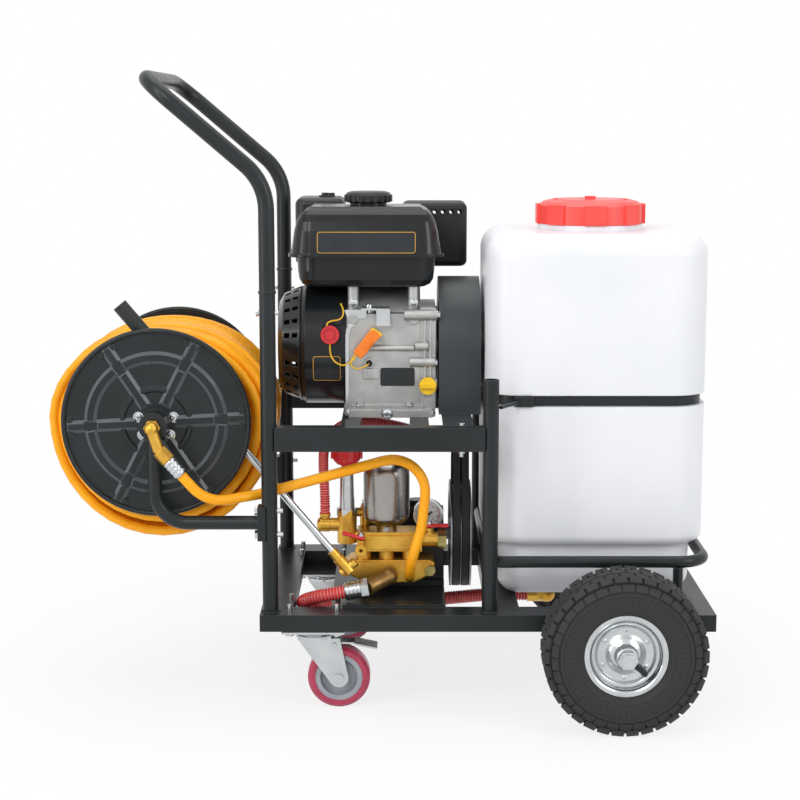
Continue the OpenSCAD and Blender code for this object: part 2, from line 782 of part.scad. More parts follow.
module hose_coil() {
    r = coil_d / 2;
    inner = core_d / 2 + slack;
    y = [coil_near, coil_far];
    color("#f5a623") translate([reel_x, 0, reel_z]) rotate([-90, 0, 0]) rotate_extrude() {
        translate([inner, y[0] + coil_near_r]) square([r - inner,
            y[1] - y[0] - coil_near_r - coil_far_r]);
        translate([inner, y[0]]) square([r - coil_near_r - inner, coil_near_r]);
        translate([inner, y[1] - coil_far_r]) square([r - coil_far_r - inner, coil_far_r]);
        translate([r - coil_near_r, y[0] + coil_near_r]) intersection() {
            circle(coil_near_r);
            translate([0, -coil_near_r]) square(coil_near_r);
        }
        translate([r - coil_far_r, y[1] - coil_far_r]) intersection() {
            circle(coil_far_r);
            square(coil_far_r);
        }
    }
}

// Spray tank

module tank_profile(inset) {
    w = tank_corner - inset;
    body_z = tank_z + tank_step_z + inset;
    groove_h = strap_h + 2 + 2 * inset;
    difference() {
        union() {
            soft_profile(body_z, w, tank_z + tank_h - inset - body_z, tank_ledge - inset,
                tank_shoulder - inset);
            soft_profile(tank_z + inset, w - tank_step, tank_step_z + tank_ledge + 10,
                tank_foot - inset, 5);
        }
        translate([w - tank_groove_d, tank_z + tank_groove_z - groove_h / 2])
            square([tank_groove_d + 1, groove_h]);
    }
}

module tank_solid(inset) {
    swept_box(tank_l - 2 * inset, tank_w - 2 * inset, tank_corner - inset, tank_z + inset,
        tank_h - 2 * inset)
        tank_profile(inset);
}

module spray_tank() {
    top = tank_z + tank_h;
    color("#f4f5f3") translate([tank_x, 0, 0]) difference() {
        union() {
            difference() {
                tank_solid(0);
                tank_solid(tank_wall);
            }
            translate([-2, 0, top - 1]) cylinder(h = lid_gap + 1, r = neck_r + 6);
            translate([-2, 0, top + lid_gap]) cylinder(h = neck_h - lid_gap - 10, r = neck_r);
            translate([-60, 50, tank_z - 12]) cylinder(h = 14, r = 17);
        }
        translate([-2, 0, top - tank_wall - 1]) cylinder(h = neck_h + 20, r = neck_r - 5);
        translate([-60, 50, tank_z - 13]) cylinder(h = 30, r = 8);
        translate([-tank_l / 2 - 1, return_end.y, return_end.z]) along_x() cylinder(h = 20, r = 6);
    }
}

module tank_strap() {
    z = tank_z + tank_groove_z - strap_h / 2;
    corner = tank_corner - tank_groove_d + 2;
    l = tank_l - 2 * tank_groove_d + 4;
    w = tank_w - 2 * tank_groove_d + 4;
    color(black) {
        translate([tank_x, 0, 0]) difference() {
            swept_box(l, w, corner, z, strap_h) translate([0, z]) square([corner, strap_h]);
            translate([0, 0, -1]) swept_box(l - 3.4, w - 3.4, corner - 1.7, z, strap_h + 2)
                translate([0, z]) square([corner - 1.7, strap_h + 2]);
        }
        both_sides() block([tank_post_x + 40, tank_post_x + 70],
            [-tank_w / 2 - 6, -tank_w / 2 + 7 - slack],
            [z, z + strap_h]);
        both_sides() rod_between([tank_post_x + tube_r + 2.6, -post_y + 1, z + strap_h / 2],
            [tank_post_x + 46, -tank_w / 2 - 8, z + strap_h / 2], 3);
    }
}

module tank_lid() {
    r = lid_d / 2;
    z = tank_z + tank_h + lid_gap + slack;
    color("#f9564f") translate([tank_x - 2, 0, z]) {
        difference() {
            union() {
                rotate_extrude() polygon([[0, 0], [r - 3, 0], [r - 3, lid_h - 9], [r - 12, lid_h - 3],
                    [r - 24, lid_h], [0, lid_h]]);
                for (a = [0 : 360 / lid_lugs : 359]) rotate([0, 0, a]) translate([r - 14, -17, 0])
                    cube([14, 34, lid_h - 7]);
            }
            translate([0, 0, -1]) cylinder(h = neck_h - lid_gap - 8, r = neck_r + slack);
            rotate_extrude() translate([r - 34, lid_h - 3]) square([8, 4]);
        }
        translate([0, 0, lid_h]) cylinder(h = 5, r = 9);
    }
}

// Engine

module crankcase() {
    skirt = 6;
    cover = [case_x[1], cover_x - 3];
    post_y0 = -54;
    color(alloy) difference() {
        union() {
            block(case_x, case_y, [seat_z + foot_t, case_top]);
            block([case_x[0] + 2, 84], [case_y[0] - 2 * skirt, 100], [seat_z, seat_z + foot_t]);
            block([case_x[0] + 8, 70], [case_y[0] - skirt, case_y[0]],
                [seat_z + foot_t, seat_z + foot_t + 8]);
            translate([case_x[0], crank_y, crank_z]) along_x()
                cylinder(h = case_x[1] - case_x[0], r = 98);
            block(cover, [case_y[0] - 2, 90], [seat_z + foot_t, case_top + 10]);
            translate([cover[1], crank_y, crank_z]) along_x() cylinder(h = 3, r = 62);
            for (bar = case_bars) translate([bar[0], case_y[0] - 2, crank_z + bar[2]]) along_x()
                cylinder(h = bar[1] - bar[0], r = bar[3]);
            for (x = [70, 79]) block([x, x + 4], [case_y[0] - 6, case_y[0]],
                [crank_z - 74, crank_z + 50]);
            block([-28, -2], [case_y[0] - 2, case_y[0]], [crank_z - 46, crank_z - 29]);
            translate([-18, case_y[0] - 5, crank_z - 20]) along_y() cylinder(h = 6, r = 8);
            for (x = [-44, 54]) {
                translate([x, post_y0, case_top - 8]) cylinder(h = fuel_z - case_top + 8, r = 9);
                translate([x, case_y[0] - 4, case_top - 9]) along_y() cylinder(h = 30, r = 8);
            }
        }
        translate([case_x[0] - 5, crank_y, crank_z]) along_x() cylinder(h = 200, r = crank_r + running);
        translate([case_x[0] + 6, crank_y, crank_z]) along_x() cylinder(h = 100, r = 60);
        translate(dipstick - [0, 15, 0]) along_y() cylinder(h = 30, r = dipstick_r + running);
        head_place() block([-90, 120], [0, 200], [-200, 200]);
    }
}

module head_place() translate([0, 78, crank_z + 8]) rotate([25, 0, 0]) children();

module cylinder_head() {
    fins = 7;
    pitch = 11;
    color(alloy) head_place() {
        block([-42, 52], [0, 92], [-32, 32]);
        for (k = [0 : fins - 1]) block([-54, 62], [10 + k * pitch, 14 + k * pitch], [-52, 52]);
        block([-50, 58], [92, 108], [-46, 46]);
        block([-36, 44], [108, 124], [-34, 34]);
    }
}

module fuel_half_shells(inset) {
    c = fuel_corner - inset;
    z = fuel_z + inset;
    top = fuel_z + fuel_h - inset;
    mid = fuel_z + fuel_seam;
    low = 2 * fuel_waist + 2 * inset;
    swept_box(fuel_l - 2 * inset, fuel_w - 2 * inset, c, mid, top - mid)
        polygon([[0, mid], [c, mid], [c - 0.6, mid + 2], [c - 6, mid + 38], [c - 10, top - 23],
            [c - 16, top - 12], [c - 23, top - 6], [c - 31, top - 2.5], [0, top]]);
    swept_box(fuel_l - low, fuel_w - low, c, z, mid - z)
        polygon([[0, z], [c - 16, z], [c - 8, z + 4], [c - 3, z + 12], [c - 1, z + 26], [c, mid],
            [0, mid]]);
}

module fuel_tank() {
    seam_h = 5;
    seam_z = fuel_z + fuel_seam - 4;
    neck = [neck_place.x - fuel_place.x, neck_place.y - fuel_place.y];
    color(black) translate([fuel_place.x, fuel_place.y, 0]) difference() {
        union() {
            fuel_half_shells(0);
            swept_box(fuel_l + 2 * fuel_lip, fuel_w + 2 * fuel_lip, fuel_corner + fuel_lip, seam_z,
                seam_h)
                translate([0, seam_z]) square([fuel_corner + fuel_lip, seam_h]);
            translate([neck.x, neck.y, fuel_z + fuel_h - 4]) cylinder(h = 8, r = 30);
        }
        fuel_half_shells(fuel_wall);
        translate([neck.x, neck.y, fuel_z + fuel_h - 30]) cylinder(h = 40, r = fuel_neck_r);
    }
}

module fuel_cap() {
    z = fuel_z + fuel_h + 4 + slack;
    grips = 20;
    color(black) translate([neck_place.x, neck_place.y, z]) {
        difference() {
            union() {
                rotate_extrude() polygon([[0, 0], [35, 0], [37.5, 3], [38, 12], [35, 16], [29, 18],
                    [0, 18.5]]);
                for (k = [0 : grips - 1]) rotate([0, 0, k * 360 / grips]) translate([33, -3, 1.5])
                    cube([6.5, 6, 11]);
            }
            translate([0, 0, -1]) cylinder(h = 3, r = 32);
        }
        translate([0, 0, -14]) cylinder(h = 16, r = fuel_neck_r - 1);
    }
}

module muffler() {
    x = [36, 146];
    y = [84, 186];
    z = [seat_z + 230, seat_z + 338];
    hole = 3.5;
    color(black) {
        difference() {
            translate([91, 135, 0]) swept_box(110, 102, 16, z[0], 108)
                soft_profile(z[0], 16, 108, 10, 10);
            block([x[0] + 5, x[1] - 5], [y[0] + 5, y[1] - 5], [z[0] + 5, z[1] - 5]);
            for (k = [0 : 6]) {
                translate([x[0] + 13 + k * 14, y[0] - 2, z[1] - 15]) along_y() cylinder(h = 8, r = hole);
                for (row = [0 : 4]) translate([x[0] + 13 + k * 14, y[1] - 6, z[0] + 22 + row * 16])
                    along_y() cylinder(h = 8, r = hole);
            }
        }
        difference() {
            block([20, 54], [112, 158], [seat_z + 180, z[0]]);
            head_place() block([-60, 70], [0, 130], [-80, 52 + slack]);
        }
    }
}

module air_cleaner() {
    z = seat_z + 236;
    h = 110;
    color(black) {
        translate([-104, 134, 0]) {
            swept_box(84, 108, 18, z, h) soft_profile(z, 18, h, 4, 12);
            swept_box(92, 116, 20, z + 26, 6) translate([0, z + 26]) square([20, 6]);
        }
        translate([-93, 128, z + h]) {
            cylinder(h = 3, r = 14);
            for (a = [0 : 120 : 240]) rotate([0, 0, a]) translate([2, -3, 2]) cube([11, 6, 5]);
        }
    }
}

module carburetor() {
    z = seat_z + 198;
    color(alloy) {
        block([-98, -54], [112, 146], [z, z + 38]);
        translate([-78, 129, z - 34]) cylinder(h = 34, r = 17);
        difference() {
            block([-54, -30], [118, 140], [z - 4, z + 30]);
            head_place() block([-70, 80], [0, 120], [-80, 52 + slack]);
        }
    }
}

module fan_shroud() {
    l = shroud_x[1] - shroud_x[0];
    t = 3;
    color(black) translate([shroud_x[0], crank_y, crank_z]) difference() {
        union() {
            along_x() cylinder(h = 8, r1 = shroud_r - 6, r2 = shroud_r);
            translate([8, 0, 0]) along_x() cylinder(h = l - 8, r = shroud_r);
            block([10, l], [0, 80], [0, 96]);
            translate([50, -shroud_r - 1, 27]) along_y() cylinder(h = 30, r = 17);
        }
        translate([t, 0, 0]) along_x() cylinder(h = l, r = shroud_r - 7);
        block([10 + t, l + 1], [0, 80 - t], [0, 96 - t]);
        translate([-1, 0, 0]) along_x() cylinder(h = l, r = 82);
        translate([50, -shroud_r - 20, 27]) along_y() cylinder(h = 60, r = 8 + running);
    }
}

module recoil_cover() {
    depth = shroud_x[0] - recoil_x;
    slots = 24;
    color(black) translate([recoil_x, crank_y, crank_z]) difference() {
        rotate([0, 90, 0]) rotate_extrude() polygon([[0, 0], [70, 0], [84, 8], [96, depth],
            [92, depth], [81, 10], [69, 3], [0, 3]]);
        for (k = [0 : slots - 1], row = [0, 1]) if (k % 6 != 0) rotate([k * 360 / slots, 0, 0])
            translate([11 + row * 13, -4, 70]) cube([9, 8, 40]);
        for (k = [0 : 11]) rotate([k * 30, 0, 0]) translate([-1, -3, 34]) cube([6, 6, 26]);
        rotate([90, 0, 0]) translate([depth / 2 + 4, 20, -110]) cylinder(h = 40, r = 5);
    }
}

module starter_grip() {
    depth = shroud_x[0] - recoil_x;
    y = crank_y + 92;
    color(black) translate([recoil_x + depth / 2 + 4, y, crank_z + 20]) {
        along_y() cylinder(h = 14, r1 = 8, r2 = 11);
        translate([-14, 14, -30]) cube([28, 18, 60]);
        translate([0, -32, 0]) along_y() cylinder(h = 32, r = 3);
    }
}

module stop_button() {
    face_y = crank_y - shroud_r - 1 - button_travel - slack;
    color(red) translate([shroud_x[0] + 50, face_y, crank_z + 27]) along_y() mirror([0, 0, 1]) {
        difference() {
            cylinder(h = 9, r = 15);
            translate([0, 0, 7]) difference() {
                cylinder(h = 4, r = 10.5);
                translate([0, 0, -1]) cylinder(h = 6, r = 7.5);
            }
        }
        translate([0, 0, -18]) cylinder(h = 19, r = 8);
    }
}

module oil_dipstick() {
    neck = 2.3;
    cap_h = 9;
    color("#f4c20d") translate(dipstick) along_y() mirror([0, 0, 1]) {
        translate([0, 0, -12]) cylinder(h = 12 + neck, r = dipstick_r);
        translate([0, 0, neck]) cylinder(h = cap_h, r = 14);
        translate([-13, -3, neck + cap_h]) cube([26, 6, 5]);
    }
}

module throttle_lever() {
    color(zinc) {
        translate([-18, -72, seat_z + 168 + slack]) cylinder(h = 7, r = 8);
        block([-30, 16], [-98, -66], [seat_z + 175, seat_z + 178]);
        block([-6, 16], [-101, -98], [seat_z + 150, seat_z + 178]);
        translate([-18, -72, seat_z + 178]) cylinder(h = 4, r = 5);
    }
}

module choke_lever() {
    color("#77797b") {
        translate([-78, 146 + slack, seat_z + 224]) along_y() cylinder(h = 3, r = 9);
        block([-81, -75], [146 + slack, 149 + slack], [seat_z + 180, seat_z + 224]);
        translate([-78, 149 + slack, seat_z + 184]) along_y() cylinder(h = 12, r = 6);
    }
}

// Belt drive

module pulley(r, bore) {
    rotate([0, 90, 0]) rotate_extrude() difference() {
        translate([bore, -pulley_w / 2]) square([r - bore, pulley_w]);
        for (s = [-1, 1]) translate([0, s * belt_pitch / 2])
            polygon([[r + 1, -belt_w / 2 - slack - 0.3], [r + 1, belt_w / 2 + slack + 0.3],
                [r - belt_t - 2, belt_w / 2 - 1], [r - belt_t - 2, -belt_w / 2 + 1]]);
    }
}

module crankshaft() {
    color("#8b8d90") {
        translate([shroud_x[0] + 16, crank_y, crank_z]) along_x()
            cylinder(h = drive_x + pulley_w / 2 - shroud_x[0] - 16 + 4, r = crank_r);
        translate([drive_x, crank_y, crank_z]) pulley(engine_pulley_r, crank_r - 0.5);
        translate([shroud_x[0] + 12, crank_y, crank_z]) along_x() cylinder(h = 40, r = 74);
        for (k = [0 : 15]) translate([shroud_x[0] + 8, crank_y, crank_z]) rotate([k * 22.5, 0, 0])
            block([0, 6], [-2, 2], [44, 74]);
    }
}

module pump_pulley() {
    color("#8b8d90") {
        translate([drive_x, pump_y, pump_z]) difference() {
            pulley(pump_pulley_r, 11.5);
            for (k = [0 : 3]) rotate([k * 90 + 45, 0, 0]) translate([-40, 0, 48]) along_x()
                cylinder(h = 80, r = 17);
            for (s = [-1, 1]) translate([s * (pulley_w / 2), 0, 0]) along_x() difference() {
                translate([0, 0, -9]) cylinder(h = 18, r = pump_pulley_r - 17);
                translate([0, 0, -10]) cylinder(h = 20, r = 24);
            }
        }
        translate([pump_x[1] - 30, pump_y, pump_z]) along_x()
            cylinder(h = drive_x + pulley_w / 2 - pump_x[1] + 34, r = 12);
    }
}

module belt_outline(grow) {
    a = [crank_y, crank_z];
    b = [pump_y, pump_z];
    ra = engine_pulley_r - belt_t + grow;
    rb = pump_pulley_r - belt_t + grow;
    d = norm(a - b);
    axis = atan2(b.y - a.y, b.x - a.x);
    lean = acos((ra - rb) / d);
    translate(a) circle(ra);
    translate(b) circle(rb);
    polygon([
        a + ra * [cos(axis + lean), sin(axis + lean)], b + rb * [cos(axis + lean), sin(axis + lean)],
        b + rb * [cos(axis - lean), sin(axis - lean)], a + ra * [cos(axis - lean), sin(axis - lean)]
    ]);
}

module drive_belts() {
    color("#18191a") for (s = [-1, 1]) translate([drive_x + s * belt_pitch / 2 - belt_w / 2 + 1, 0, 0])
        rotate([90, 0, 90]) linear_extrude(belt_w - 2) difference() {
            belt_outline(belt_t);
            belt_outline(0);
        }
}

module guard_shape(r) {
    translate([crank_y, crank_z]) circle(r);
    translate([crank_y - r, deck_top - 1]) square([2 * r, crank_z - deck_top + 1]);
}

module belt_guard() {
    l = guard_x[1] - guard_x[0];
    color(black) difference() {
        union() {
            translate([guard_x[0], 0, 0]) rotate([90, 0, 90]) linear_extrude(l) guard_shape(guard_r);
            block([guard_x[0] + 4, guard_x[1] - 16], [-post_y - 4, post_y + 4],
                [deck_top, deck_top + guard_foot_t]);
        }
        translate([guard_x[0] + guard_t, 0, 0]) rotate([90, 0, 90]) linear_extrude(l - 2 * guard_t)
            guard_shape(guard_r - guard_t);
        translate([guard_x[0] - 1, crank_y, crank_z]) along_x() cylinder(h = 10, r = 45);
        block([guard_x[0] - 1, guard_x[1] + 1], [-150, 150], [deck_top - 30, deck_top]);
        both_sides() guard_bolt_place() translate([0, 0, -1])
            cylinder(h = guard_foot_t + 2, r = guard_bolt_r + slack);
    }
}

// Pump

module pump_body() {
    color("#191a1b") difference() {
        union() {
            block([pump_x[0] + 10, pump_x[1]], [-58, 70], [pump_base + 10, pump_z + 6]);
            translate([pump_x[0] + 10, pump_y, pump_z]) along_x()
                cylinder(h = pump_x[1] - pump_x[0] - 10, r = 46);
            block([pump_x[0], pump_x[1]], [-75, 80], [pump_base, pump_base + 10]);
            for (x = [0, 60]) translate([x, 20, pump_z + 40]) cylinder(h = 14, r = 14);
        }
        translate([pump_x[1] - 40, pump_y, pump_z]) along_x() cylinder(h = 60, r = 12 + running);
    }
}

module pump_manifold() {
    top = head_z + head_h;
    back = -58;
    step = 6;
    stem_r = 7;
    cap_x = 94;
    color(brass) difference() {
        union() {
            translate([0, back, 0]) rotate([90, 0, 0]) linear_extrude(back - head_y - step)
                head_outline(1, 1);
            translate([0, head_y + step, 0]) rotate([90, 0, 0]) linear_extrude(step)
                head_outline(0.93, 0.88);
            for (x = [-28, 10, 48]) translate([x, -92, top - 1])
                cylinder(h = manifold_z[0] - top + 2, r = 13);
            block(manifold_x, [head_y + step, -62], manifold_z);
            block([manifold_x[0] + 6, manifold_x[1] - 6], [head_y, head_y + step],
                [manifold_z[0] + 5, manifold_z[1] - 5]);
            for (x = lug_x) translate([x, head_y - 2, head_z + 22]) along_y() {
                cylinder(h = 40, r = 9);
                mirror([0, 0, 1]) hex(6, 9);
            }
            near_valve(stem_r);
            // Right outlet valve, closed by a hexagon cap
            translate([60, valve_right.y, valve_right.z]) along_x() cylinder(h = cap_x + 2 - 60, r = 12);
            translate([cap_x, valve_right.y, valve_right.z]) along_x() hex(14, 17);
            translate(valve_right) cylinder(h = 19, r = stem_r);
            rear_valve();
        }
        translate(valve_left - [0, 20, 0]) along_y() cylinder(h = 24, r = 3);
        translate([chamber_x, chamber_y - 30, manifold_z[1] - 8]) cylinder(h = 20, r = 8 + running);
    }
}

// Front outline of the pump's head, drawn in about its middle
module head_outline(wide, tall) {
    low = head_z;
    high = head_z + head_h;
    mid = [12, (low + high) / 2];
    rim = [[-60, high - 9], [-56, low + 16], [-44, low + 9], [-28, low + 2], [0, low], [54, low],
        [70, low + 7],
        [82, low + 15], [88, low + 25], [88, high - 4], [80, high], [-48, high]];
    polygon([for (p = rim) [mid.x + wide * (p.x - mid.x), mid.y + tall * (p.y - mid.y)]]);
}

module near_valve(stem_r) {
    translate(valve_left) {
        translate([0, -14, 0]) along_y() cylinder(h = 40, r = 8);
        translate([0, -16, 0]) along_y() cylinder(h = 6, r = 9.5);
        cylinder(h = 14, r = stem_r);
    }
}

module rear_valve() {
    foot = manifold_z[1] - 20;
    translate([valve_rear.x, valve_rear.y, foot]) cylinder(h = valve_rear.z - foot - 4, r = 8);
    translate([valve_rear.x - 20, valve_rear.y, valve_rear.z - 14]) along_x() cylinder(h = 34, r = 7.5);
    block([valve_rear.x - 10, valve_rear.x + 10], [-64, valve_rear.y + 9], [foot, foot + 16]);
}

module air_chamber() {
    z = manifold_z[1];
    r = chamber_r;
    color("#c4c6c8") translate([chamber_x, chamber_y - 30, z]) rotate_extrude() {
        polygon([[0, -8], [8, -8], [8, 0], [16, 0], [16, 8], [20, 12], [r - 3, 28], [r, 36], [r, 82],
            [r - 2, 90],
            [r - 8, 101], [r - 18, 109], [10, 112], [10, 116], [6, 117], [0, 117]]);
    }
}

module regulator() {
    z = manifold_z[0] + 10;
    color(brass) translate([regulator_x, regulator_y, 0]) {
        difference() {
            union() {
                translate([0, 0, z]) cylinder(h = 46, r = 16);
                translate([0, 0, z + 46]) hex(12, 17);
                translate([0, 0, z + 30]) rotate([0, -90, 0])
                    cylinder(h = regulator_x - bypass_face, r = 11);
                translate([0, 0, z + 12]) along_x() cylinder(h = manifold_x[0] - regulator_x, r = 10);
            }
            translate([0, 0, z + 30]) cylinder(h = 60, r = 8);
        }
        translate([0, 0, z + 58]) difference() {
            cylinder(h = 60, r1 = 12.5, r2 = 11);
            translate([0, 0, -1]) cylinder(h = 70, r = 5 + running);
        }
    }
}

module regulator_knob() {
    z = manifold_z[0] + 10 + 58 + 60 + slack;
    color(red) translate([regulator_x, regulator_y, z]) {
        rotate_extrude() polygon([[0, 0], [9, 0], [9, 10], [17, 14], [22, 20], [23, 38], [20, 38],
            [19, 22], [0, 22]]);
        for (a = [0 : 45 : 315]) rotate([0, 0, a]) translate([22, -3, 22]) cube([4, 6, 16]);
        translate([0, 0, -30]) cylinder(h = 31, r = 5);
    }
}

module pressure_gauge() {
    color(zinc) translate([gauge_x, gauge_y, gauge_z]) {
        difference() {
            along_y() cylinder(h = 15, r = gauge_r);
            translate([0, -1, 0]) along_y() cylinder(h = 5, r = gauge_r - 3);
            along_y() translate([0, 0, -2]) cylinder(h = 14, r = 2 + running);
        }
        translate([0, 7, -gauge_r - 6]) cylinder(h = 10, r = 5.5);
        translate([0, 14, -gauge_r - 6]) rotate([90, 0, 0])
            cylinder(h = 14 + gauge_y - valve_right.y - 12 - slack, r = 6.5);
    }
}

module gauge_needle() {
    color("#111111") translate([gauge_x, gauge_y + 2.6, gauge_z]) {
        along_y() cylinder(h = 8, r = 2);
        rotate([0, -40, 0]) rotate([90, 0, 0]) linear_extrude(0.8)
            polygon([[-18, -0.6], [8, -1.8], [8, 1.8], [-18, 0.6]]);
    }
}

module lever_arm(l, lift) {
    translate([-6, -6, 0]) cube([12, 12, 3]);
    translate([0, -5.5, 0]) cube([18, 11, 3]);
    translate([16, -5, 0.2]) rotate([0, -lift, 0]) cube([l - 16, 10, 3]);
}

module valve_lever_left() {
    color(red) translate(valve_left + [0, 0, 14 + slack]) rotate([0, 0, 180]) lever_arm(46, 12);
}

module valve_lever_right() {
    color(red) translate(valve_right + [0, 0, 19 + slack]) lever_arm(30, 0);
}

module valve_lever_rear() {
    color(red) translate(valve_rear + [0, 0, slack - 4]) rotate([0, 0, 20]) lever_arm(44, 35);
}

// Fittings and hoses

module hose_fittings() {
    swivel = [reel_x, -post_y - reel_hub_l / 2 - 16, reel_z];
    knee = [-341.5, -post_y - reel_hub_l / 2 - 12, 428];
    ferrule = delivery_route[0] + [-19, -1, 22];
    spray_end = delivery_route[len(delivery_route) - 1];
    spray_turn = spray_end + [0, 8.25, -5.5];
    suction_turn = [14, head_y - 22, suction_route[0].z + 18];
    suction_line = suction_route[0] - suction_route[1];
    outlet = [tank_x - 60, 50, suction_route[len(suction_route) - 1].z];
    color(brass) {
        // Swivel elbow on the reel's axle
        translate([reel_x, -post_y - reel_hub_l / 2 - 2 - slack, reel_z]) rotate([90, 0, 0]) {
            hex(10, 13);
            translate([0, 0, 10]) cylinder(h = 8, r = 9);
        }
        translate(swivel) sphere(11);
        rod_between(swivel, knee, 9);
        rod_between(knee, ferrule, 12, hex_sides);
        rod_between(ferrule, delivery_route[0], 10);
        // Suction elbow on the pump's face
        rod_between([suction_turn.x, head_y, suction_turn.z], suction_turn, 13);
        translate(suction_turn) sphere(14);
        rod_between(suction_turn, suction_route[0] + 4.4 * suction_line, 12.5);
        rod_between(suction_route[0] + 4.4 * suction_line, suction_route[0] + 3 * suction_line, 17,
            hex_sides);
        rod_between(suction_route[0] + 3 * suction_line, suction_route[0], 13.5);
        // Delivery spigot on the pump's face
        rod_between(spray_end, spray_turn, 7);
        translate(spray_turn) sphere(7.5);
        rod_between(spray_turn, [spray_turn.x, head_y, spray_turn.z], 7);
        // Bypass elbow with the return hose's ferrule
        translate([bypass_face, regulator_y, bypass_z]) rotate([0, -90, 0]) rotate_extrude()
            polygon([[0, 0], [12, 0], [12, 14], [10.5, 17.5], [7, 19.8], [0, 20.5]]);
        rod_between([return_route[0].x, regulator_y, bypass_z], return_route[0] - [0, 0, 6], 6.4);
        rod_between(return_route[0] - [0, 0, 6], return_route[0], 9);
        // Tank outlet
        rod_between([outlet.x, outlet.y, tank_z - 12], outlet, 12);
        translate(outlet) sphere(13.5);
        rod_between(outlet, outlet - [17, 0, 0], 13, hex_sides);
        rod_between(outlet - [17, 0, 0], suction_route[len(suction_route) - 1], 12.5);
        // Return inlet on the tank's wall
        rod_between(return_end, [tank_x - tank_l / 2, return_end.y, return_end.z], 9);
    }
}

module lance_tube() {
    color("#c9ccce") {
        rod_between(lance_top + 30 * lance_dir, lance_end - 46 * lance_dir, lance_r);
        rod_between(lance_end - 46 * lance_dir, lance_end - 30 * lance_dir, 8);
        rod_between(lance_end - 30 * lance_dir, lance_end, 9.5);
        at_line(lance_end - 8 * lance_dir, [lance_dir.z, 0, -lance_dir.x]) {
            translate([0, 0, -12]) cylinder(h = 24, r = 7);
            translate([0, 0, -18]) hex(6, 8);
        }
    }
}

module lance_grip() {
    color(black) difference() {
        rod_between(lance_top, lance_top + grip_l * lance_dir, grip_r);
        rod_between(lance_top + 30 * lance_dir, lance_top + (grip_l + 10) * lance_dir, lance_r);
        rod_between(lance_top - lance_dir, lance_top + grip_hole * lance_dir, grip_r - 3);
    }
}

module delivery_hose() {
    color("#f5a623") hose(delivery_route, hose_d);
}

module suction_hose() {
    color("#c81e2b") hose(suction_route, suction_d);
}

module return_hose() {
    color("#c81e2b") hose(return_route, return_d);
}

// Fasteners

module bolt(l, r, head) {
    translate([0, 0, -head]) hex(head, 1.75 * r);
    cylinder(h = l, r = r);
}

module fasteners() {
    color(zinc) both_sides() {
        caster_bolt_places() translate([0, 0, plate_z]) bolt(rail_h + 20, bolt_r, 5);
        for (z = arm_bolts) translate([handle_x - tube_r - saddle_t, -post_y, z]) along_x()
            bolt(2 * tube_r + 14, bolt_r, 5);
        translate([handle_x - tube_r - 1, -post_y, joint_z - spigot_l / 2]) along_x()
            bolt(2 * tube_r + 6, 3, 4);
        guard_bolt_place() {
            translate([0, 0, guard_foot_t]) mirror([0, 0, 1])
                bolt(guard_foot_t + deck_h + 10, guard_bolt_r, 4);
            translate([0, 0, -deck_h - 5]) difference() {
                hex(5, 1.75 * guard_bolt_r);
                translate([0, 0, -1]) cylinder(h = 7, r = guard_bolt_r - running);
            }
        }
    }
}

base_frame();
upright_posts();
engine_deck();
tank_guard();
push_handle();
wheel_axle();
caster_plates();
reel_arms();
fasteners();
tyre(near);  // tyre_near
tyre(far);  // tyre_far
rim(near);  // rim_near
rim(far);  // rim_far
caster_fork(near);  // caster_fork_near
caster_fork(far);  // caster_fork_far
caster_tread(near);  // caster_tread_near
caster_tread(far);  // caster_tread_far
caster_core(near);  // caster_core_near
caster_core(far);  // caster_core_far
caster_pedal(near);  // caster_pedal_near
caster_pedal(far);  // caster_pedal_far
reel_drum();
hose_coil();
spray_tank();
tank_strap();
tank_lid();
crankcase();
cylinder_head();
fuel_tank();
fuel_cap();
muffler();
air_cleaner();
carburetor();
fan_shroud();
recoil_cover();
starter_grip();
stop_button();
oil_dipstick();
throttle_lever();
choke_lever();
crankshaft();
belt_guard();
drive_belts();
pump_pulley();
pump_body();
pump_manifold();
air_chamber();
regulator();
regulator_knob();
pressure_gauge();
gauge_needle();
valve_lever_left();
valve_lever_right();
valve_lever_rear();
hose_fittings();
lance_tube();
lance_grip();
delivery_hose();
suction_hose();
return_hose();
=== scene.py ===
"""Looks of a wheeled sprayer cart: finishes, hoses, tyre treads and small fittings around its frame."""
import logging
import math
import random
from dataclasses import dataclass
from enum import Enum
from typing import Any, Callable, Sequence

import bmesh
import bpy
from mathutils import Matrix, Vector


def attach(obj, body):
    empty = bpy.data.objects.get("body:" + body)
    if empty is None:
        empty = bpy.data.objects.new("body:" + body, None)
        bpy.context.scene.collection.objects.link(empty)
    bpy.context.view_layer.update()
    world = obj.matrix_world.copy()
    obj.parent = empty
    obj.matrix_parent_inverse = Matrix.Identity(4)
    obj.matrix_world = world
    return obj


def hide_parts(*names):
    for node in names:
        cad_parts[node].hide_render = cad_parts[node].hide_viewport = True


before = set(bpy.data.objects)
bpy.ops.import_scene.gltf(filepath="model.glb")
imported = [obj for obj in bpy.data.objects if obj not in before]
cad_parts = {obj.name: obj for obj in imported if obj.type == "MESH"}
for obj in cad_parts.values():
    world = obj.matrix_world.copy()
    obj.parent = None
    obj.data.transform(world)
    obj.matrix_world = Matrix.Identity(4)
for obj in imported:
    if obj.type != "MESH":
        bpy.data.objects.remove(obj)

LOG = logging.getLogger("sprayer_cart")
MM = 0.001
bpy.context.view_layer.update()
CART = "cart"
# Pale grey that coated edges are mixed towards: a painted edge highlight
EDGE_HIGHLIGHT_GREY = "#8A8B8A"
RIB_RED = "#CF1F27"
WALL_RED = "#E58D88"
FULL_TURN = 2 * math.pi
SMOOTH_UNDER = math.radians(35)
MERGE_M = 1e-6
LAMPS_LOOK_AT = Vector((0, 0, 0.45))


